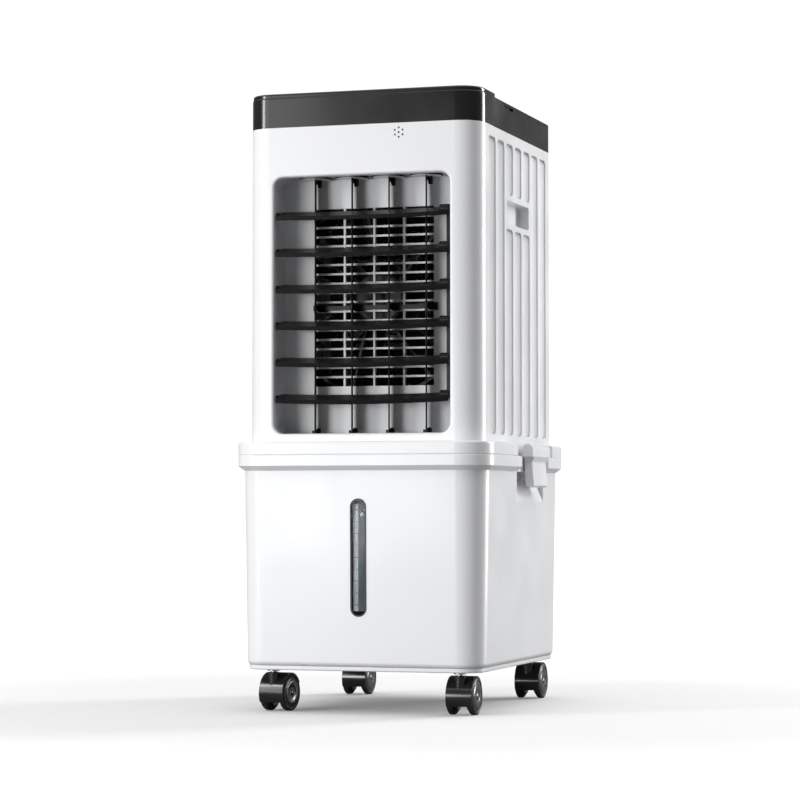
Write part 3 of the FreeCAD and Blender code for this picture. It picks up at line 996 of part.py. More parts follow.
# ---------------------------------------------------------------- write every piece
def main():
    os.makedirs("parts", exist_ok=True)
    seal, lens = window_parts()
    right_latch = latch()
    pieces = {
        "water_tank": water_tank(), "tank_base": tank_base(), "window_seal": seal, "level_window": lens,
        "caster_stems": caster_stems(), "pump": pump(), "water_hose": water_hose(), "deck": deck(),
        "housing": housing(), "outlet_duct": outlet_duct(), "outlet_grille": outlet_grille(),
        "fan_shroud": fan_shroud(), "fan_motor": fan_motor(), "fan_impeller": fan_impeller(),
        "motor_shaft": motor_shaft(), "swing_motor": swing_motor(), "pad_holder": pad_holder(),
        "cooling_pad": cooling_pad(), "filter_frame": filter_frame(), "dust_filter": dust_filter(),
        "water_tray": water_tray(), "top_cover": top_cover(), "control_panel": control_panel(),
        "control_board": control_board(), "fill_lid": fill_lid(), "lid_pin": lid_pin(), "sounder": sounder(),
        "cord_gland": cord_gland(), "screws": screws(), "latch_right": right_latch,
        "latch_left": mirrored(right_latch), "latch_pins": latch_pins(),
        "louvre_link": louvre_link(), "vane_link": vane_link(),
    }
    for i, z in enumerate(LOUVRE_Z):
        pieces[f"louvre_{i + 1}"] = louvre(z)
    for i, x in enumerate(VANE_X):
        pieces[f"vane_{i + 1}"] = vane(x, 5.0 if i == 0 else -0.3)
    for corner, (x, y) in caster_places().items():
        turn = CASTER_TURNS[corner]
        pieces["hood_" + corner] = caster_hood(x, y, turn)
        pieces["axle_" + corner] = caster_axle(x, y, turn)
        pieces["wheel_" + corner + "_l"] = caster_wheel(x, y, turn, -1)
        pieces["wheel_" + corner + "_r"] = caster_wheel(x, y, turn, 1)
    for name, shape in pieces.items():
        save(name, shape)
    print(len(pieces), "pieces")


main()
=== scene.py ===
"""Looks of the evaporative air cooler: finishes, small fittings, studio and camera.

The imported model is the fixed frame. Every piece made here takes its place from that frame and
rides on one of its bodies.
"""

import json
import logging
import math
from dataclasses import dataclass, field
from enum import Enum
from typing import Optional, Sequence

import bmesh
import bpy
from mathutils import Matrix, Vector


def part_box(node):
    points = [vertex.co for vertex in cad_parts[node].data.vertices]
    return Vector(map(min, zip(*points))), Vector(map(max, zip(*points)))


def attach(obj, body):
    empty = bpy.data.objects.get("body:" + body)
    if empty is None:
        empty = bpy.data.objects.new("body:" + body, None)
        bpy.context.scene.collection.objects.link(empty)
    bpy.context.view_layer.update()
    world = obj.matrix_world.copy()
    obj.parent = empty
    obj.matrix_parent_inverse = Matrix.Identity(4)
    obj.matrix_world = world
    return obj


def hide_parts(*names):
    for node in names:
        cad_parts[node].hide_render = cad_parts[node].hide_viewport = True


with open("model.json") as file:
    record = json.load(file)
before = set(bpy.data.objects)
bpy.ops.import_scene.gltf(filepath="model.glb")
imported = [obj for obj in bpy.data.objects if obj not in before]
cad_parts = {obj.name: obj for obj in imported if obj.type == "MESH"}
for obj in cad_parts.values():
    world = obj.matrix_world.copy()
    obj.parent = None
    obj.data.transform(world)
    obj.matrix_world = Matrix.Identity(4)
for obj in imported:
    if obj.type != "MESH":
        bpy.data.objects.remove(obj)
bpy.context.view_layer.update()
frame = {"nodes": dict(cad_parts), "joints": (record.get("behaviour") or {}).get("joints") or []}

LOG = logging.getLogger("cooler")
MM = 0.001
UP = Vector((0, 0, 1))
TO_REAR = Vector((0, 1, 0))
SMOOTH_BELOW = math.radians(35)   # edges sharper than this stay crisp
MERGE_DISTANCE = 1e-6
Colour = tuple[float, float, float]


class Side(Enum):
    """The two sides of the cooler, as signs along X."""

    LEFT = -1
    RIGHT = 1


class Icon(Enum):
    """Generic symbols on the touch panel, from left to right."""

    POWER = "power"
    SPEED = "speed"
    SWING = "swing"
    COOL = "cool"
    TIMER = "timer"
    MODE = "mode"


# ------------------------------------------------------------------ shared shader groups
def new_group(name: str, inputs: Sequence[tuple[str, str, float]], outputs: Sequence[tuple[str, str]]
              ) -> tuple[bpy.types.NodeTree, bpy.types.Node, bpy.types.Node]:
    """Starts a shader node group with named sockets.

    Args:
        name: The group's name.
        inputs: Name, socket type and default of each input.
        outputs: Name and socket type of each output.

    Returns:
        The group, its input node and its output node.
    """
    tree = bpy.data.node_groups.new(name, "ShaderNodeTree")
    for label, kind, value in inputs:
        socket = tree.interface.new_socket(label, in_out="INPUT", socket_type=kind)
        socket.default_value = value
    for label, kind in outputs:
        tree.interface.new_socket(label, in_out="OUTPUT", socket_type=kind)
    return tree, tree.nodes.new("NodeGroupInput"), tree.nodes.new("NodeGroupOutput")


def object_coordinates(tree: bpy.types.NodeTree) -> bpy.types.NodeSocket:
    """Adds a texture-coordinate node and gives its Object socket."""
    return tree.nodes.new("ShaderNodeTexCoord").outputs["Object"]


def noise(tree: bpy.types.NodeTree, place: bpy.types.NodeSocket, scale: float, detail: float = 3.0,
          stretch: Optional[Colour] = None) -> bpy.types.Node:
    """Adds a noise texture, stretched along the axes if asked.

    Args:
        tree: Node tree to add to.
        place: Coordinates that the noise reads.
        scale: Size of the noise, in cells per metre.
        detail: Octaves.
        stretch: Scale along each axis.

    Returns:
        The noise node.
    """
    node = tree.nodes.new("ShaderNodeTexNoise")
    node.inputs["Scale"].default_value = scale
    node.inputs["Detail"].default_value = detail
    if stretch is not None:
        mapping = tree.nodes.new("ShaderNodeMapping")
        mapping.inputs["Scale"].default_value = stretch
        tree.links.new(place, mapping.inputs["Vector"])
        place = mapping.outputs["Vector"]
    tree.links.new(place, node.inputs["Vector"])
    return node


def maths(tree: bpy.types.NodeTree, operation: str, first: object, second: object) -> bpy.types.NodeSocket:
    """Adds a two-input maths node.

    Args:
        tree: Node tree to add to.
        operation: Blender's name of the operation.
        first: A socket or a number.
        second: A socket or a number.

    Returns:
        The result's socket.
    """
    node = tree.nodes.new("ShaderNodeMath")
    node.operation = operation
    for slot, value in zip(node.inputs, (first, second)):
        if isinstance(value, bpy.types.NodeSocket):
            tree.links.new(value, slot)
        else:
            slot.default_value = value
    return node.outputs["Value"]


def remap(tree: bpy.types.NodeTree, value: bpy.types.NodeSocket, low: float, high: float,
          out_low: float, out_high: float) -> bpy.types.NodeSocket:
    """Maps a value from one range to another, clamped.

    Args:
        tree: Node tree to add to.
        value: The value's socket.
        low: Lower end of the incoming range.
        high: Upper end of the incoming range.
        out_low: Result at the lower end.
        out_high: Result at the upper end.

    Returns:
        The result's socket.
    """
    node = tree.nodes.new("ShaderNodeMapRange")
    tree.links.new(value, node.inputs["Value"])
    for label, number in (("From Min", low), ("From Max", high), ("To Min", out_low), ("To Max", out_high)):
        node.inputs[label].default_value = number
    return node.outputs["Result"]


def make_grain_group() -> bpy.types.NodeTree:
    """Fine moulded grain over a broad slow waviness, as a height."""
    tree, entry, leave = new_group("moulded_grain", [("Scale", "NodeSocketFloat", 900.0),
                                                     ("Waviness", "NodeSocketFloat", 0.4)],
                                   [("Height", "NodeSocketFloat")])
    place = object_coordinates(tree)
    fine = noise(tree, place, 900.0, 2.0)
    tree.links.new(entry.outputs["Scale"], fine.inputs["Scale"])
    broad = noise(tree, place, 9.0, 1.0)
    wave = maths(tree, "MULTIPLY", broad.outputs["Fac"], entry.outputs["Waviness"])
    total = maths(tree, "ADD", fine.outputs["Fac"], wave)
    tree.links.new(total, leave.inputs["Height"])
    return tree


def make_handling_group() -> bpy.types.NodeTree:
    """Soft smudges and fine wipe marks left by handling, as a mask from 0 to 1."""
    tree, entry, leave = new_group("handling_marks", [("Scale", "NodeSocketFloat", 14.0),
                                                      ("Amount", "NodeSocketFloat", 1.0)],
                                   [("Mask", "NodeSocketFloat")])
    place = object_coordinates(tree)
    smudge = noise(tree, place, 14.0, 4.0)
    tree.links.new(entry.outputs["Scale"], smudge.inputs["Scale"])
    wipes = noise(tree, place, 60.0, 2.0, (1.0, 1.0, 0.16))
    soft = remap(tree, smudge.outputs["Fac"], 0.38, 0.68, 0.0, 1.0)
    lines = remap(tree, wipes.outputs["Fac"], 0.5, 0.75, 0.0, 0.45)
    both = maths(tree, "MAXIMUM", soft, lines)
    tree.links.new(maths(tree, "MULTIPLY", both, entry.outputs["Amount"]), leave.inputs["Mask"])
    return tree


def make_dust_group() -> bpy.types.NodeTree:
    """Settled dust on faces that look up, as a mask from 0 to 1."""
    tree, entry, leave = new_group("settled_dust", [("Amount", "NodeSocketFloat", 0.5)],
                                   [("Mask", "NodeSocketFloat")])
    normal = tree.nodes.new("ShaderNodeTexCoord").outputs["Normal"]
    split = tree.nodes.new("ShaderNodeSeparateXYZ")
    tree.links.new(normal, split.inputs["Vector"])
    upward = remap(tree, split.outputs["Z"], 0.55, 1.0, 0.0, 1.0)
    specks = noise(tree, object_coordinates(tree), 130.0, 5.0)
    patch = remap(tree, specks.outputs["Fac"], 0.42, 0.72, 0.15, 1.0)
    mask = maths(tree, "MULTIPLY", maths(tree, "MULTIPLY", upward, patch), entry.outputs["Amount"])
    tree.links.new(mask, leave.inputs["Mask"])
    return tree


@dataclass
class SharedGroups:
    """The node groups that several finishes use."""

    grain: bpy.types.NodeTree = field(default_factory=make_grain_group)
    handling: bpy.types.NodeTree = field(default_factory=make_handling_group)
    dust: bpy.types.NodeTree = field(default_factory=make_dust_group)

    def place(self, tree: bpy.types.NodeTree, group: bpy.types.NodeTree, **values: float) -> bpy.types.Node:
        """Puts a group in a material with its own values.

        Args:
            tree: The material's node tree.
            group: The shared group.
            **values: Input values, by socket name.

        Returns:
            The group node.
        """
        node = tree.nodes.new("ShaderNodeGroup")
        node.node_tree = group
        for label, number in values.items():
            node.inputs[label].default_value = number
        return node


# ------------------------------------------------------------------ finishes
def blend_colours(tree: bpy.types.NodeTree, mask: bpy.types.NodeSocket, first: object, second: object
                  ) -> bpy.types.NodeSocket:
    """Mixes two colours by a mask.

    Args:
        tree: Node tree to add to.
        mask: 0 gives the first colour and 1 the second.
        first: A colour or a colour socket.
        second: A colour or a colour socket.

    Returns:
        The mixed colour's socket.
    """
    node = tree.nodes.new("ShaderNodeMix")
    node.data_type = "RGBA"
    tree.links.new(mask, node.inputs[0])
    for slot, value in ((node.inputs[6], first), (node.inputs[7], second)):
        if isinstance(value, bpy.types.NodeSocket):
            tree.links.new(value, slot)
        else:
            slot.default_value = (*value, 1.0)
    return node.outputs[2]


def add_bump(tree: bpy.types.NodeTree, shader: bpy.types.Node, height: bpy.types.NodeSocket, depth: float,
             strength: float) -> None:
    """Feeds a height to a shader's normal.

    Args:
        tree: The material's node tree.
        shader: The surface shader.
        height: Height from 0 to 1.
        depth: Depth of a height of 1, in metres.
        strength: Share of the effect.
    """
    bump = tree.nodes.new("ShaderNodeBump")
    bump.inputs["Distance"].default_value = depth
    bump.inputs["Strength"].default_value = strength
    tree.links.new(height, bump.inputs["Height"])
    tree.links.new(bump.outputs["Normal"], shader.inputs["Normal"])


def start_material(name: str) -> tuple[bpy.types.Material, bpy.types.NodeTree, bpy.types.Node]:
    """Starts a material with one surface shader.

    Args:
        name: The material's name.

    Returns:
        The material, its node tree and its Principled BSDF.
    """
    material = bpy.data.materials.new(name)
    material.use_nodes = True
    return material, material.node_tree, material.node_tree.nodes["Principled BSDF"]


@dataclass(frozen=True)
class MouldedFinish:
    """Moulded plastic, rubber or paint: two close tones, smudged gloss and a fine grain."""

    name: str
    tone: Colour
    second_tone: Colour
    smooth: float
    rough: float
    grain: float = 900.0
    grain_depth: float = 0.00002
    waviness: float = 0.4
    coat: float = 0.0
    dust: float = 0.0
    dust_tone: Colour = (0.55, 0.54, 0.51)
    specular: float = 0.5

    def build(self, groups: SharedGroups) -> bpy.types.Material:
        """Makes the material from the shared groups."""
        material, tree, shader = start_material(self.name)
        marks = groups.place(tree, groups.handling, Scale=14.0, Amount=1.0).outputs["Mask"]
        mottle = noise(tree, object_coordinates(tree), 5.0, 2.0).outputs["Fac"]
        colour = blend_colours(tree, remap(tree, mottle, 0.3, 0.7, 0.0, 1.0), self.tone, self.second_tone)
        gloss = remap(tree, marks, 0.0, 1.0, self.smooth, self.rough)
        if self.dust > 0:
            dust = groups.place(tree, groups.dust, Amount=self.dust).outputs["Mask"]
            colour = blend_colours(tree, dust, colour, self.dust_tone)
            gloss = maths(tree, "ADD", gloss, maths(tree, "MULTIPLY", dust, 0.3))
        tree.links.new(colour, shader.inputs["Base Color"])
        tree.links.new(gloss, shader.inputs["Roughness"])
        shader.inputs["Coat Weight"].default_value = self.coat
        shader.inputs["Coat Roughness"].default_value = 0.08
        shader.inputs["Specular IOR Level"].default_value = self.specular
        grain = groups.place(tree, groups.grain, Scale=self.grain, Waviness=self.waviness)
        add_bump(tree, shader, grain.outputs["Height"], self.grain_depth, 1.0)
        return material


@dataclass(frozen=True)
class MetalFinish:
    """Plated or brushed metal with fine drawn lines and faint tarnish."""

    name: str
    tone: Colour
    tarnish: Colour
    smooth: float = 0.2
    rough: float = 0.42
    lines: Colour = (1.0, 1.0, 0.04)

    def build(self, groups: SharedGroups) -> bpy.types.Material:
        """Makes the material from the shared groups."""
        material, tree, shader = start_material(self.name)
        drawn = noise(tree, object_coordinates(tree), 1600.0, 2.0, self.lines).outputs["Fac"]
        marks = groups.place(tree, groups.handling, Scale=40.0, Amount=1.0).outputs["Mask"]
        tree.links.new(blend_colours(tree, marks, self.tone, self.tarnish), shader.inputs["Base Color"])
        tree.links.new(remap(tree, drawn, 0.3, 0.7, self.smooth, self.rough), shader.inputs["Roughness"])
        shader.inputs["Metallic"].default_value = 1.0
        add_bump(tree, shader, drawn, 0.00001, 0.6)
        return material


@dataclass(frozen=True)
class ClearFinish:
    """Clear moulded plastic with faint flow lines."""

    name: str
    tone: Colour = (0.86, 0.90, 0.93)
    smooth: float = 0.06
    rough: float = 0.14
    refraction: float = 1.16

    def build(self, groups: SharedGroups) -> bpy.types.Material:
        """Makes the material from the shared groups."""
        material, tree, shader = start_material(self.name)
        marks = groups.place(tree, groups.handling, Scale=60.0, Amount=1.0).outputs["Mask"]
        tree.links.new(remap(tree, marks, 0.0, 1.0, self.smooth, self.rough), shader.inputs["Roughness"])
        shader.inputs["Base Color"].default_value = (*self.tone, 1.0)
        shader.inputs["Transmission Weight"].default_value = 1.0
        shader.inputs["IOR"].default_value = self.refraction
        grain = groups.place(tree, groups.grain, Scale=220.0, Waviness=1.0)
        add_bump(tree, shader, grain.outputs["Height"], 0.00001, 0.5)
        return material


@dataclass(frozen=True)
class FibreFinish:
    """Fibrous card or cloth: mottled tone, visible strands and a matt surface."""

    name: str
    tone: Colour
    second_tone: Colour
    strands: Colour = (1.0, 1.0, 6.0)
    scale: float = 420.0

    def build(self, groups: SharedGroups) -> bpy.types.Material:
        """Makes the material from the shared groups."""
        material, tree, shader = start_material(self.name)
        place = object_coordinates(tree)
        strand = noise(tree, place, self.scale, 4.0, self.strands).outputs["Fac"]
        soak = noise(tree, place, 16.0, 3.0).outputs["Fac"]
        mask = maths(tree, "MULTIPLY", strand, remap(tree, soak, 0.3, 0.7, 0.5, 1.5))
        tree.links.new(blend_colours(tree, mask, self.second_tone, self.tone), shader.inputs["Base Color"])
        marks = groups.place(tree, groups.handling, Scale=25.0, Amount=1.0).outputs["Mask"]
        tree.links.new(remap(tree, marks, 0.0, 1.0, 0.8, 0.95), shader.inputs["Roughness"])
        add_bump(tree, shader, strand, 0.0002, 0.7)
        return material


@dataclass(frozen=True)
class CircuitFinish:
    """Circuit board lacquer with paler copper runs under it."""

    name: str = "board_lacquer"
    lacquer: Colour = (0.02, 0.13, 0.06)
    runs: Colour = (0.05, 0.24, 0.10)

    def build(self, groups: SharedGroups) -> bpy.types.Material:
        """Makes the material from the shared groups."""
        material, tree, shader = start_material(self.name)
        cells = tree.nodes.new("ShaderNodeTexVoronoi")
        cells.distance = "CHEBYCHEV"
        cells.inputs["Scale"].default_value = 150.0
        tree.links.new(object_coordinates(tree), cells.inputs["Vector"])
        track = remap(tree, cells.outputs["Distance"], 0.25, 0.3, 0.0, 1.0)
        tree.links.new(blend_colours(tree, track, self.lacquer, self.runs), shader.inputs["Base Color"])
        marks = groups.place(tree, groups.handling, Scale=40.0, Amount=1.0).outputs["Mask"]
        tree.links.new(remap(tree, marks, 0.0, 1.0, 0.25, 0.45), shader.inputs["Roughness"])
        add_bump(tree, shader, track, 0.00003, 1.0)
        return material


FINISHES = (
    MouldedFinish("white_shell", (0.83, 0.838, 0.85), (0.815, 0.822, 0.838), 0.30, 0.38, 1100.0, 0.000012,
                  0.5, coat=0.1, dust=0.05, dust_tone=(0.70, 0.69, 0.67)),
    MouldedFinish("white_frame", (0.80, 0.81, 0.825), (0.785, 0.792, 0.81), 0.36, 0.46, 1300.0, 0.000015,
                  0.5, dust=0.05, dust_tone=(0.68, 0.67, 0.65)),
    MouldedFinish("black_gloss", (0.008, 0.008, 0.009), (0.011, 0.011, 0.012), 0.16, 0.24, 1500.0, 0.000004,
                  0.6, coat=0.3, dust=0.04, dust_tone=(0.20, 0.20, 0.195)),
    MouldedFinish("black_blade", (0.006, 0.006, 0.0065), (0.008, 0.008, 0.0085), 0.30, 0.36, 1600.0, 0.000002,
                  0.4, dust=0.02, dust_tone=(0.10, 0.10, 0.098), specular=0.2),
    MouldedFinish("black_plastic", (0.014, 0.014, 0.015), (0.020, 0.020, 0.021), 0.46, 0.60, 1300.0, 0.00003),
    MouldedFinish("seal_rubber", (0.045, 0.046, 0.05), (0.06, 0.061, 0.065), 0.5, 0.65, 1500.0, 0.00003),
    MouldedFinish("tread", (0.012, 0.012, 0.013), (0.02, 0.02, 0.02), 0.38, 0.55, 1400.0, 0.00003,
                  dust=0.2, dust_tone=(0.09, 0.088, 0.085)),
    MouldedFinish("caster_hub", (0.02, 0.021, 0.023), (0.03, 0.031, 0.033), 0.2, 0.3, 1500.0, 0.000006,
                  coat=0.3),
    MouldedFinish("motor_can", (0.10, 0.105, 0.11), (0.13, 0.135, 0.14), 0.35, 0.5, 700.0, 0.00005),
    MouldedFinish("hose_rubber", (0.55, 0.56, 0.56), (0.47, 0.48, 0.48), 0.35, 0.5, 300.0, 0.00005),
    MouldedFinish("panel_glass", (0.004, 0.004, 0.005), (0.006, 0.006, 0.007), 0.06, 0.14, 800.0, 0.000002,
                  0.6, coat=0.5, dust=0.03, dust_tone=(0.15, 0.15, 0.145)),
    MouldedFinish("icon_print", (0.62, 0.64, 0.66), (0.56, 0.58, 0.60), 0.4, 0.5, 1500.0, 0.00001),
    MouldedFinish("gauge_light", (0.74, 0.75, 0.77), (0.68, 0.69, 0.71), 0.4, 0.5, 900.0, 0.00001),
    MouldedFinish("gauge_dark", (0.07, 0.075, 0.08), (0.09, 0.095, 0.10), 0.5, 0.6, 900.0, 0.00001),
    MouldedFinish("plate_print", (0.46, 0.47, 0.48), (0.42, 0.43, 0.44), 0.4, 0.5, 900.0, 0.00001),
    MetalFinish("steel", (0.62, 0.63, 0.65), (0.48, 0.48, 0.48)),
    ClearFinish("window_clear"),
    FibreFinish("pad_fibre", (0.40, 0.25, 0.12), (0.20, 0.115, 0.05)),
    FibreFinish("net_cloth", (0.11, 0.11, 0.115), (0.05, 0.05, 0.055), (1.0, 1.0, 1.0), 900.0),
    CircuitFinish("board_green"),
)


class FinishLibrary:
    """Builds each finish once and hands it out by name."""

    def __init__(self) -> None:
        """Builds the shared groups and every finish."""
        groups = SharedGroups()
        self.materials = {finish.name: finish.build(groups) for finish in FINISHES}

    def dress(self, piece: bpy.types.Object, name: str) -> None:
        """Gives a piece one finish in all its material slots.

        Args:
            piece: A new piece or a CAD node.
            name: The finish's name.
        """
        piece.data.materials.clear()
        piece.data.materials.append(self.materials[name])


# ------------------------------------------------------------------ mesh helpers
def finish_mesh(name: str, mesh: bmesh.types.BMesh, body: str,
                smooth: bool = True) -> bpy.types.Object:
    """Turns a bmesh into a piece that rides on a body.

    Args:
        name: The piece's name.
        mesh: The finished bmesh, in metres, in the frame's own axes.
        body: The body that the piece rides on.
        smooth: Whether faces shade smoothly where their angle allows.

    Returns:
        The piece.
    """
    bmesh.ops.recalc_face_normals(mesh, faces=mesh.faces)
    data = bpy.data.meshes.new(name)
    mesh.to_mesh(data)
    mesh.free()
    if smooth:
        data.shade_smooth()
        data.set_sharp_from_angle(angle=SMOOTH_BELOW)
    piece = bpy.data.objects.new(name, data)
    bpy.context.scene.collection.objects.link(piece)
    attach(piece, body)
    LOG.info("made %s on %s", name, body)
    return piece


def add_box(mesh: bmesh.types.BMesh, low: Sequence[float], high: Sequence[float], bevel: float = 0.0) -> None:
    """Adds a block between two corners.

    Args:
        mesh: Mesh to add to.
        low: Lowest corner.
        high: Highest corner.
        bevel: Rounding of its edges.
    """
    middle = [(a + b) / 2 for a, b in zip(low, high)]
    size = [b - a for a, b in zip(low, high)]
    matrix = Matrix.Translation(middle) @ Matrix.Diagonal((*size, 1.0))
    made = bmesh.ops.create_cube(mesh, size=1.0, matrix=matrix)
    if bevel > 0:
        edges = list({edge for vert in made["verts"] for edge in vert.link_edges})
        bmesh.ops.bevel(mesh, geom=edges, offset=bevel, affect="EDGES", segments=2, profile=0.5, material=-1)


def add_disc(mesh: bmesh.types.BMesh, centre: Vector, axis: Vector, radius: float, thickness: float,
             segments: int = 40, bevel: float = 0.0) -> None:
    """Adds a flat round plate whose base is centred on a point.

    Args:
        mesh: Mesh to add to.
        centre: Middle of its base.
        axis: Direction from the base to the top.
        radius: Its radius.
        thickness: Its thickness along the axis.
        segments: Sides of the circle.
        bevel: Rounding of its rims.
    """
    turn = axis.to_track_quat("Z", "Y").to_matrix().to_4x4()
    matrix = Matrix.Translation(centre + axis.normalized() * thickness / 2) @ turn
    made = bmesh.ops.create_cone(mesh, cap_ends=True, segments=segments, radius1=radius, radius2=radius,
                                 depth=thickness, matrix=matrix)
    if bevel > 0:
        rims = [edge for edge in {e for v in made["verts"] for e in v.link_edges}
                if any(len(face.verts) > 4 for face in edge.link_faces)]
        bmesh.ops.bevel(mesh, geom=rims, offset=bevel, affect="EDGES", segments=2, profile=0.5, material=-1)


def add_turned(mesh: bmesh.types.BMesh, profile: Sequence[tuple[float, float]], centre: Vector, axis: Vector,
               steps: int = 48) -> None:
    """Adds a turned shape by spinning a profile about an axis.

    Args:
        mesh: Mesh to add to.
        profile: Points as (radius, distance along the axis).
        centre: Origin of the profile.
        axis: Axis of the spin.
        steps: Steps of the full turn.
    """
    along = axis.normalized()
    outward = along.orthogonal().normalized()
    verts = [mesh.verts.new(centre + outward * radius + along * reach) for radius, reach in profile]
    edges = [mesh.edges.new(pair) for pair in zip(verts, verts[1:])]
    bmesh.ops.spin(mesh, geom=verts + edges, cent=centre, axis=along, angle=math.tau, steps=steps,
                   use_merge=True)
    bmesh.ops.remove_doubles(mesh, verts=mesh.verts, dist=MERGE_DISTANCE)


def add_ring(mesh: bmesh.types.BMesh, centre: Vector, axis: Vector, inner: float, outer: float, height: float,
             steps: int = 48) -> None:
    """Adds a flat ring of square section.

    Args:
        mesh: Mesh to add to.
        centre: Middle of its base.
        axis: Direction from the base to the top.
        inner: Inner radius.
        outer: Outer radius.
        height: Height along the axis.
        steps: Steps of the full turn.
    """
    loop = [(inner, 0.0), (outer, 0.0), (outer, height), (inner, height), (inner, 0.0)]
    add_turned(mesh, loop, centre, axis, steps)


def joint_named(name: str) -> dict:
    """Gives a joint of the frame by its name."""
    return next(joint for joint in frame["joints"] if joint["name"] == name)


# ------------------------------------------------------------------ sub-assemblies
@dataclass
class Shell:
    """The moulded bodies, covers and moving plastics that come whole from the frame."""

    finishes: FinishLibrary
    plain: dict[str, str] = field(default_factory=lambda: {
        "water_tank": "white_shell", "tank_base": "white_shell", "deck": "white_shell", "housing": "white_shell",
        "outlet_duct": "white_frame", "outlet_grille": "white_frame", "latch_left": "white_shell",
        "latch_right": "white_shell", "pad_holder": "white_frame", "filter_frame": "white_frame",
        "water_tray": "white_frame", "top_cover": "black_gloss", "control_panel": "black_gloss",
        "fill_lid": "black_gloss", "window_seal": "seal_rubber", "level_window": "window_clear",
        "caster_stems": "steel", "lid_pin": "steel", "latch_pins": "steel", "screws": "steel",
        "motor_shaft": "steel", "pump": "black_plastic", "sounder": "black_plastic",
        "cord_gland": "black_plastic", "fan_shroud": "black_plastic", "fan_impeller": "black_plastic",
        "fan_motor": "motor_can", "swing_motor": "motor_can", "water_hose": "hose_rubber",
        "control_board": "board_green", "cooling_pad": "pad_fibre", "dust_filter": "net_cloth",
        "louvre_link": "black_blade", "vane_link": "black_blade"})
    families: dict[str, str] = field(default_factory=lambda: {
        "louvre_": "black_blade", "vane_": "black_blade", "hood_": "black_gloss", "axle_": "steel",
        "wheel_": "tread"})

    def dress(self) -> None:
        """Gives every node of the frame its finish."""
        for name, node in frame["nodes"].items():
            finish = self.plain.get(name)
            if finish is None:
                finish = next(value for prefix, value in self.families.items() if name.startswith(prefix))
            self.finishes.dress(node, finish)
            LOG.info("dressed %s as %s", name, finish)


@dataclass
class TouchPanel:
    """Glass face, symbols and status lights on the raised control panel."""

    finishes: FinishLibrary
    margin: float = 9 * MM
    side_margins: float = 3.0
    rear_margins: float = 1.3
    glass: float = 0.3 * MM
    glass_round: float = 0.1 * MM
    keys_share: float = 0.62
    keys_back: float = 3 * MM
    light_forward: float = 14 * MM
    print_height: float = 0.12 * MM
    icon_size: float = 5.2 * MM
    line: float = 0.9 * MM
    light_radius: float = 0.8 * MM

    def build(self) -> None:
        """Builds the glass, one symbol per key and a light in front of each."""
        low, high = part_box("control_panel")
        top = high.z
        glass = bmesh.new()
        side = self.side_margins * self.margin
        add_box(glass, (low.x + side, low.y + self.margin, top - self.glass / 2),
                (high.x - side, high.y - self.margin * self.rear_margins, top + self.glass),
                self.glass_round)
        self.finishes.dress(finish_mesh("panel_glass", glass, "cabinet"), "panel_glass")
        width = (high.x - low.x) * self.keys_share
        step = width / (len(Icon) - 1)
        middle = (low.y + high.y) / 2 + self.keys_back
        lights = bmesh.new()
        for number, icon in enumerate(Icon):
            centre = Vector((-width / 2 + step * number, middle, top + self.glass))
            self.finishes.dress(self.symbol(icon, centre), "icon_print")
            add_disc(lights, centre - TO_REAR * self.light_forward, UP, self.light_radius,
                     self.print_height, 16)
        self.finishes.dress(finish_mesh("status_lights", lights, "cabinet"), "icon_print")

    def symbol(self, icon: Icon, centre: Vector) -> bpy.types.Object:
        """Builds one generic symbol.

        Args:
            icon: Which symbol.
            centre: Its middle, on the glass.

        Returns:
            The symbol's piece.
        """
        mesh = bmesh.new()
        size, line, height = self.icon_size, self.line, self.print_height
        if icon is Icon.COOL:
            for turn in range(3):
                self.stroke(mesh, centre, math.pi / 3 * turn, size, line)
        elif icon is Icon.SPEED:
            for turn in range(4):
                reach = Matrix.Rotation(math.pi / 2 * turn, 4, "Z") @ Vector((size * 0.5, 0, 0))
                add_ring(mesh, centre + reach, UP, size * 0.26, size * 0.26 + line, height, 20)
        elif icon is Icon.SWING:
            for shift in (-0.55, 0.0, 0.55):
                self.stroke(mesh, centre + Vector((shift * size, 0, 0)), 1.2, size * 0.8, line)
        else:
            add_ring(mesh, centre, UP, size - line, size, height, 36)
            if icon is Icon.POWER:
                self.stroke(mesh, centre + Vector((0, size * 0.7, 0)), math.pi / 2, size * 0.6, line * 1.2)
            elif icon is Icon.TIMER:
                self.stroke(mesh, centre + Vector((0, size * 0.28, 0)), math.pi / 2, size * 0.3, line)
                self.stroke(mesh, centre + Vector((size * 0.22, 0, 0)), 0.0, size * 0.24, line)
            else:
                add_disc(mesh, centre, UP, size * 0.4, height, 24)
        return finish_mesh("symbol_" + icon.value, mesh, "cabinet")

    def stroke(self, mesh: bmesh.types.BMesh, centre: Vector, angle: float, half: float, width: float) -> None:
        """Adds one straight printed stroke.

        Args:
            mesh: Mesh to add to.
            centre: Middle of the stroke.
            angle: Its direction in the panel's plane, in radians.
            half: Half its length.
            width: Its width.
        """
        matrix = (Matrix.Translation(centre + Vector((0, 0, self.print_height / 2)))
                  @ Matrix.Rotation(angle, 4, "Z") @ Matrix.Diagonal((2 * half, width, self.print_height, 1.0)))
        bmesh.ops.create_cube(mesh, size=1.0, matrix=matrix)


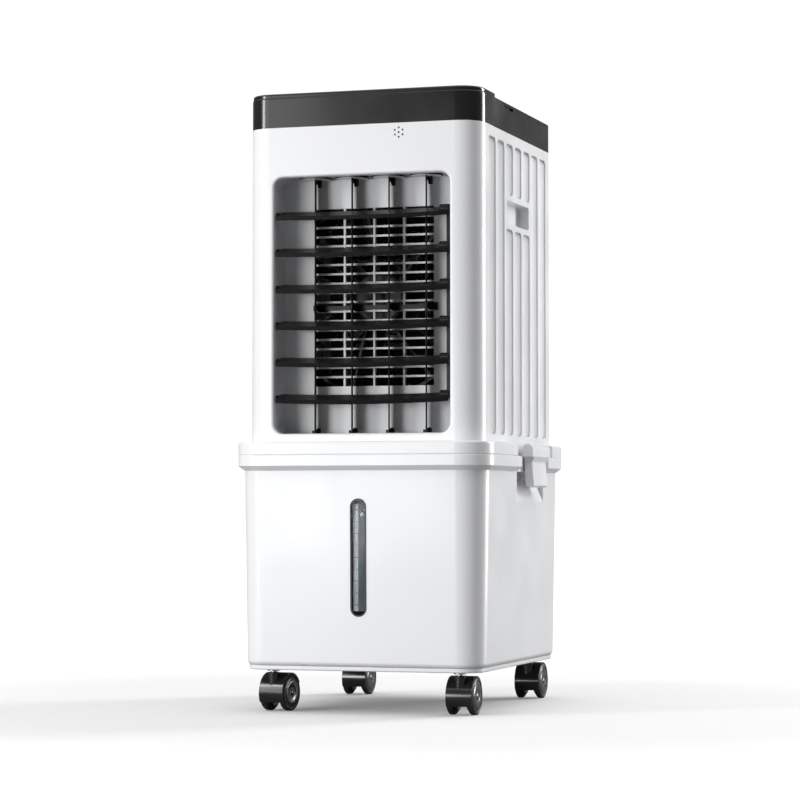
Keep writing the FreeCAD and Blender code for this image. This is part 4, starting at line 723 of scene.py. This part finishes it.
@dataclass
class LevelGauge:
    """What shows through the water-level window: a pale scale strip, a dark channel and a float."""

    finishes: FinishLibrary
    strip_share: float = 0.42
    thickness: float = 0.5 * MM
    strip_round: float = 0.15 * MM
    behind_window: float = 0.2 * MM
    end_share: float = 0.6
    left_edge: float = 0.6 * MM
    right_edge: float = 0.2 * MM
    tick_count: int = 9
    tick_height: float = 0.6 * MM
    long_tick: float = 0.75
    short_tick: float = 0.4
    float_level: float = 0.9
    float_radius: float = 2.4 * MM

    def build(self) -> None:
        """Builds the strip, the channel beside it, the ticks and the float."""
        low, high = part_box("level_window")
        end = (high.x - low.x) / 2
        back = high.y + self.behind_window
        foot, head = low.z + end * self.end_share, high.z - end * self.end_share
        split = low.x + (high.x - low.x) * self.strip_share
        for name, left, right, finish in (
                ("gauge_strip", low.x + self.left_edge, split, "gauge_light"),
                ("gauge_channel", split, high.x - self.right_edge, "gauge_dark")):
            mesh = bmesh.new()
            add_box(mesh, (left, back, foot), (right, back + self.thickness, head),
                    self.strip_round)
            self.finishes.dress(finish_mesh(name, mesh, "cabinet"), finish)
        ticks = bmesh.new()
        for number in range(self.tick_count):
            level = foot + (head - foot) * (number + 0.5) / self.tick_count
            reach = (split - low.x) * (self.long_tick if number % 2 == 0 else self.short_tick)
            add_box(ticks, (split - reach, back - 0.1 * MM, level),
                    (split, back + 0.05 * MM, level + self.tick_height))
        self.finishes.dress(finish_mesh("gauge_ticks", ticks, "cabinet"), "gauge_dark")
        ball = bmesh.new()
        place = Vector(((split + high.x) / 2, back + self.float_radius * 0.2,
                        foot + (head - foot) * self.float_level))
        bmesh.ops.create_uvsphere(ball, u_segments=24, v_segments=14, radius=self.float_radius,
                                  matrix=Matrix.Translation(place))
        self.finishes.dress(finish_mesh("gauge_float", ball, "cabinet"), "gauge_light")


@dataclass
class VaneCaps:
    """Pale undersides of the half discs on top of the vanes."""

    finishes: FinishLibrary
    count: int = 4
    radius: float = 17.6 * MM
    behind: float = 2.2 * MM
    thickness: float = 0.3 * MM
    drop: float = 0.12 * MM
    rest_turn: float = math.radians(17.8)

    def build(self) -> None:
        """Builds one half disc under each vane's top plate."""
        for number in range(1, self.count + 1):
            place = Vector(joint_named(f"vane_{number}_turn")["pos_m"])
            mesh = bmesh.new()
            add_disc(mesh, Vector((0, 0, 0)), UP, self.radius, self.thickness, 64)
            geometry = list(mesh.verts) + list(mesh.edges) + list(mesh.faces)
            cut = bmesh.ops.bisect_plane(mesh, geom=geometry, plane_co=(0, self.behind, 0),
                                         plane_no=(0, 1, 0), clear_outer=True)
            edges = [item for item in cut["geom_cut"] if isinstance(item, bmesh.types.BMEdge)]
            bmesh.ops.holes_fill(mesh, edges=edges)
            bmesh.ops.transform(mesh, verts=mesh.verts,
                                matrix=Matrix.Translation(place - UP * (self.drop + self.thickness))
                                @ Matrix.Rotation(self.rest_turn, 4, "Z"))
            cap = finish_mesh(f"vane_cap_{number}", mesh, f"vane_{number}")
            self.finishes.dress(cap, "white_shell")


@dataclass
class FanCap:
    """Dark press-on cap over the front end of the fan's shaft."""

    finishes: FinishLibrary
    radius: float = 6.5 * MM
    thickness: float = 1.7 * MM
    seat: float = 0.9 * MM

    def build(self) -> None:
        """Builds the cap on the hub's front face."""
        low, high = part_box("motor_shaft")
        front = low.y - self.seat - self.thickness
        mesh = bmesh.new()
        add_disc(mesh, Vector(((low.x + high.x) / 2, front, (low.z + high.z) / 2)), TO_REAR,
                 self.radius, self.thickness, 48)
        self.finishes.dress(finish_mesh("fan_cap", mesh, "fan"), "black_plastic")


@dataclass
class CasterHubs:
    """Turned hub covers of the eight caster wheels."""

    finishes: FinishLibrary
    corners: tuple[str, ...] = ("front_left", "front_right", "rear_left", "rear_right")
    radius: float = 16.2 * MM
    outer_face: float = 15.7 * MM
    sunk: float = 0.9 * MM
    dish: float = 1.0 * MM

    def build(self) -> None:
        """Builds one hub cover per wheel, on the wheel's own body."""
        for corner in self.corners:
            for side, mark in ((Side.LEFT, "l"), (Side.RIGHT, "r")):
                joint = joint_named(f"roll_{corner}_{mark}")
                axis = Vector(joint["axis"]) * side.value
                centre = Vector(joint["pos_m"]) + axis * (self.outer_face - self.sunk)
                r, d = self.radius, self.dish
                profile = [(0.0, 1.25 * d), (0.18 * r, 1.2 * d), (0.24 * r, 0.55 * d), (0.34 * r, 0.6 * d),
                           (0.4 * r, 0.95 * d), (0.72 * r, 1.05 * d), (0.84 * r, 0.9 * d), (0.9 * r, 0.5 * d),
                           (0.96 * r, 0.5 * d), (r, 0.0), (0.0, 0.0)]
                mesh = bmesh.new()
                add_turned(mesh, profile, centre, axis, 56)
                hub = finish_mesh(f"hub_{corner}_{mark}", mesh, f"wheel_{corner}_{mark}")
                self.finishes.dress(hub, "caster_hub")


@dataclass
class RearDress:
    """Woven net, pad sheets, screws and blank rating plate at the back.

    Slot sizes are half lengths of the black blocks that paint the shade of the screws' cross slots, and the
    plate's face lies wall_in forward of the tank's rearmost point.
    """

    finishes: FinishLibrary
    wires_across: int = 84
    wires_up: int = 118
    wire: float = 0.45 * MM
    sheets: int = 43
    waves: int = 30
    wave_depth: float = 2.6 * MM
    points_per_wave: int = 6
    core_inset: float = 5 * MM
    card: float = 0.35 * MM
    screw_radius: float = 3.1 * MM
    screw_height: float = 1.2 * MM
    screw_round: float = 0.35 * MM
    screw_sunk: float = 0.3 * MM
    screw_inset: float = 16 * MM
    slot_length: float = 1.9 * MM
    slot_width: float = 0.32 * MM
    slot_face: float = 0.92 * MM
    plate_half: float = 34 * MM
    plate_height: float = 30 * MM
    plate_level: float = 150 * MM
    wall_in: float = 9.3 * MM

    def build(self) -> None:
        """Builds the net, the pad's sheets, the screws and the plate."""
        self.net()
        self.pad()
        self.screws()
        self.plate()

    def net(self) -> None:
        """Crosses two sets of fine wires in place of the plain filter sheet."""
        low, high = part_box("dust_filter")
        middle = (low.y + high.y) / 2
        mesh = bmesh.new()
        for number in range(self.wires_across):
            x = low.x + (high.x - low.x) * (number + 0.5) / self.wires_across
            add_box(mesh, (x - self.wire / 2, middle - self.wire, low.z), (x + self.wire / 2, middle, high.z))
        for number in range(self.wires_up):
            z = low.z + (high.z - low.z) * (number + 0.5) / self.wires_up
            add_box(mesh, (low.x, middle - self.wire * 0.3, z - self.wire / 2),
                    (high.x, middle + self.wire * 0.7, z + self.wire / 2))
        net = finish_mesh("filter_net", mesh, "filter", smooth=False)
        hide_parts("dust_filter")
        self.finishes.dress(net, "net_cloth")

    def pad(self) -> None:
        """Stacks corrugated sheets in place of the plain pad block."""
        low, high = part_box("cooling_pad")
        pitch = (high.z - low.z - 2 * self.wave_depth) / (self.sheets - 1)
        points = self.waves * self.points_per_wave
        mesh = bmesh.new()
        row = []
        for number in range(points + 1):
            share = number / points
            wave = math.sin(share * self.waves * math.tau) * self.wave_depth
            row.append(mesh.verts.new((low.x + (high.x - low.x) * share, low.y,
                                       low.z + self.wave_depth + wave)))
        edges = [mesh.edges.new(pair) for pair in zip(row, row[1:])]
        swept = bmesh.ops.extrude_edge_only(mesh, edges=edges)
        moved = [item for item in swept["geom"] if isinstance(item, bmesh.types.BMVert)]
        bmesh.ops.translate(mesh, verts=moved, vec=(0, high.y - low.y, 0))
        first = list(mesh.verts) + list(mesh.edges) + list(mesh.faces)
        for number in range(1, self.sheets):
            copy = bmesh.ops.duplicate(mesh, geom=first)
            verts = [item for item in copy["geom"] if isinstance(item, bmesh.types.BMVert)]
            bmesh.ops.translate(mesh, verts=verts, vec=(0, 0, pitch * number))
        core = bmesh.new()
        add_box(core, (low.x, low.y + self.core_inset, low.z), (high.x, high.y - self.core_inset, high.z))
        self.finishes.dress(finish_mesh("pad_core", core, "cabinet"), "pad_fibre")
        pad = finish_mesh("pad_sheets", mesh, "cabinet")
        solid = pad.modifiers.new("card", "SOLIDIFY")
        solid.thickness = self.card
        solid.offset = 0.0
        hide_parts("cooling_pad")
        self.finishes.dress(pad, "pad_fibre")

    def screws(self) -> None:
        """Sets a screw at each corner of the rear wall, with its cross slot painted on as black shade."""
        low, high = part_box("housing")
        mesh = bmesh.new()
        inset = self.screw_inset
        places = [(x, z) for x in (low.x + inset * 1.75, high.x - inset * 1.75)
                  for z in (low.z + inset * 0.55, high.z - inset * 0.6)]
        for x, z in places:
            centre = Vector((x, high.y - self.screw_sunk, z))
            add_disc(mesh, centre, TO_REAR, self.screw_radius, self.screw_height, 28, self.screw_round)
        head = finish_mesh("rear_screws", mesh, "cabinet")
        self.finishes.dress(head, "steel")
        # painted shade: thin black blocks on each head stand in for the dark of the cross slots, which are not
        # cut
        slots = bmesh.new()
        for x, z in places:
            face = high.y + self.slot_face
            for wide, tall in ((self.slot_length, self.slot_width), (self.slot_width, self.slot_length)):
                add_box(slots, (x - wide, face - 0.4 * MM, z - tall), (x + wide, face + 0.01 * MM, z + tall))
        self.finishes.dress(finish_mesh("rear_screw_slot_shade", slots, "cabinet"), "black_plastic")

    def plate(self) -> None:
        """Sticks a blank rating plate low on the rear of the tank."""
        low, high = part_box("water_tank")
        mesh = bmesh.new()
        face, level = high.y - self.wall_in, low.z + self.plate_level
        add_box(mesh, (-self.plate_half, face - 1.2 * MM, level),
                (self.plate_half, face + 0.35 * MM, level + self.plate_height), 0.15 * MM)
        self.finishes.dress(finish_mesh("rating_plate", mesh, "cabinet"), "plate_print")


# ------------------------------------------------------------------ studio
@dataclass(frozen=True)
class SoftLight:
    """A rectangular soft light that looks at the cooler.

    Azimuth is in degrees from the front towards the right-hand side, elevation in degrees above the floor,
    distance in metres from the point looked at, size in metres across and up, and power in watts.
    """

    name: str
    azimuth: float
    elevation: float
    distance: float
    size: tuple[float, float]
    power: float


SOFT_LIGHTS = (
    SoftLight("key_left", azimuth=-46.0, elevation=12.0, distance=2.7, size=(0.45, 2.0), power=35.0),
    SoftLight("cap_panel", azimuth=-32.0, elevation=6.0, distance=2.7, size=(1.2, 1.2), power=10.0),
    SoftLight("low_fill", azimuth=-22.0, elevation=-1.0, distance=2.7, size=(0.8, 0.5), power=15.0),
    SoftLight("side_right", azimuth=136.0, elevation=11.0, distance=2.6, size=(0.7, 2.0), power=64.0),
)


@dataclass
class Studio:
    """Pale floor, soft lights and the camera."""

    floor_size: float = 40.0
    floor_tone: float = 0.66
    backdrop: float = 1.05
    lit_height: float = 0.36
    ambient: float = 0.13
    # floor glow: low near the cooler as painted shade, high far off as painted light
    near_painted_glow: float = 0.16
    far_painted_glow: float = 0.75
    glow_starts: float = 0.45
    glow_ends: float = 1.4
    overhead_strength: float = 2.1
    overhead_angle: float = math.radians(110)
    bounce_tone: float = 0.22
    lens: float = 122.5
    sensor: float = 36.0
    stand: Vector = field(default_factory=lambda: Vector((0.9434, -2.9604, 0.2225)))
    aim: Vector = field(default_factory=lambda: Vector((-0.30517, 0.95146, 0.03995)))

    def build(self) -> None:
        """Sets the floor, the world, the lights and the camera."""
        self.floor()
        self.world()
        for light in SOFT_LIGHTS:
            self.soft_light(light)
        self.overhead()
        self.camera()

    def floor(self) -> None:
        """Lays the pale floor, whose glow paints shade near the cooler and light farther off."""
        mesh = bmesh.new()
        bmesh.ops.create_grid(mesh, x_segments=1, y_segments=1, size=self.floor_size / 2)
        data = bpy.data.meshes.new("floor")
        mesh.to_mesh(data)
        mesh.free()
        floor = bpy.data.objects.new("floor", data)
        bpy.context.scene.collection.objects.link(floor)
        material, tree, shader = start_material("studio_floor")
        shader.inputs["Base Color"].default_value = (self.floor_tone, self.floor_tone, self.floor_tone, 1.0)
        shader.inputs["Roughness"].default_value = 0.9
        shader.inputs["Specular IOR Level"].default_value = 0.0
        shader.inputs["Emission Color"].default_value = (1.0, 1.0, 1.0, 1.0)
        # painted shade and light: floor glow that grows with distance from the cooler
        self.paint_floor_glow(tree, shader)
        self.limit_bounce(tree, shader)
        data.materials.append(material)

    def paint_floor_glow(self, tree: bpy.types.NodeTree, shader: bpy.types.Node) -> None:
        """Paints light and shade into the floor: its glow is weak near the cooler, a painted shade round its
        foot, and grows to a painted light that whitens the floor farther off.

        Args:
            tree: The floor material's node tree.
            shader: The floor's shader.
        """
        length = tree.nodes.new("ShaderNodeVectorMath")
        length.operation = "LENGTH"
        tree.links.new(object_coordinates(tree), length.inputs[0])
        fade = tree.nodes.new("ShaderNodeMapRange")
        fade.interpolation_type = "SMOOTHSTEP"
        settings = (("From Min", self.glow_starts), ("From Max", self.glow_ends), ("To Min", self.near_painted_glow),
                    ("To Max", self.far_painted_glow))
        for socket, value in settings:
            fade.inputs[socket].default_value = value
        tree.links.new(length.outputs["Value"], fade.inputs["Value"])
        tree.links.new(fade.outputs["Result"], shader.inputs["Emission Strength"])

    def limit_bounce(self, tree: bpy.types.NodeTree, seen: bpy.types.Node) -> None:
        """Makes the floor pale where it is seen but throw little light back on the cooler.

        Args:
            tree: The floor material's node tree.
            seen: The shader that the camera sees.
        """
        dull = tree.nodes.new("ShaderNodeBsdfDiffuse")
        dull.inputs["Color"].default_value = (self.bounce_tone, self.bounce_tone, self.bounce_tone, 1.0)
        out = next(node for node in tree.nodes if node.type == "OUTPUT_MATERIAL")
        self.split_by_ray(tree, seen, dull, out)

    def split_by_ray(self, tree: bpy.types.NodeTree, seen: bpy.types.Node, lighting: bpy.types.Node,
                     out: bpy.types.Node) -> None:
        """Shows the camera one shader and every other ray another.

        Args:
            tree: Node tree to add to.
            seen: The shader that the camera sees.
            lighting: The shader that lights the cooler.
            out: The tree's output node.
        """
        path = tree.nodes.new("ShaderNodeLightPath")
        mix = tree.nodes.new("ShaderNodeMixShader")
        tree.links.new(path.outputs["Is Camera Ray"], mix.inputs[0])
        tree.links.new(lighting.outputs[0], mix.inputs[1])
        tree.links.new(seen.outputs[0], mix.inputs[2])
        tree.links.new(mix.outputs[0], out.inputs["Surface"])

    def world(self) -> None:
        """Fills the room with soft even light, white behind the cooler."""
        world = bpy.data.worlds.new("studio")
        bpy.context.scene.world = world
        world.use_nodes = True
        tree = world.node_tree
        tree.nodes.clear()
        fill = tree.nodes.new("ShaderNodeBackground")
        fill.inputs["Strength"].default_value = self.ambient
        seen = tree.nodes.new("ShaderNodeBackground")
        seen.inputs["Strength"].default_value = self.backdrop
        for shade in (fill, seen):
            shade.inputs["Color"].default_value = (1.0, 1.0, 1.0, 1.0)
        self.split_by_ray(tree, seen, fill, tree.nodes.new("ShaderNodeOutputWorld"))
        bpy.context.scene.view_settings.view_transform = "Standard"

    def soft_light(self, plan: SoftLight) -> None:
        """Hangs one soft light.

        Args:
            plan: The light's place, size and power.
        """
        data = bpy.data.lights.new(plan.name, "AREA")
        data.shape = "RECTANGLE"
        data.size, data.size_y = plan.size
        data.energy = plan.power
        light = bpy.data.objects.new(plan.name, data)
        turn, rise = math.radians(plan.azimuth), math.radians(plan.elevation)
        away = Vector((math.sin(turn) * math.cos(rise), -math.cos(turn) * math.cos(rise), math.sin(rise)))
        light.location = UP * self.lit_height + away * plan.distance
        light.rotation_euler = (-away).to_track_quat("-Z", "Y").to_euler()
        bpy.context.scene.collection.objects.link(light)

    def overhead(self) -> None:
        """Lights the floor evenly from straight above, with soft-edged shadows."""
        data = bpy.data.lights.new("overhead", "SUN")
        data.energy = self.overhead_strength
        data.angle = self.overhead_angle
        light = bpy.data.objects.new("overhead", data)
        bpy.context.scene.collection.objects.link(light)

    def camera(self) -> None:
        """Places the camera in front and to the right, at a low height, looking slightly up."""
        data = bpy.data.cameras.new("camera")
        data.lens = self.lens
        data.sensor_width = self.sensor
        camera = bpy.data.objects.new("camera", data)
        camera.location = self.stand
        camera.rotation_euler = self.aim.to_track_quat("-Z", "Y").to_euler()
        bpy.context.scene.collection.objects.link(camera)
        bpy.context.scene.camera = camera


def main() -> None:
    """Builds the finishes, each sub-assembly and the studio, in order."""
    logging.basicConfig(level=logging.INFO, format="%(name)s: %(message)s")
    finishes = FinishLibrary()
    Shell(finishes).dress()
    TouchPanel(finishes).build()
    LevelGauge(finishes).build()
    VaneCaps(finishes).build()
    FanCap(finishes).build()
    CasterHubs(finishes).build()
    RearDress(finishes).build()
    Studio().build()


if __name__ == "__main__":
    main()
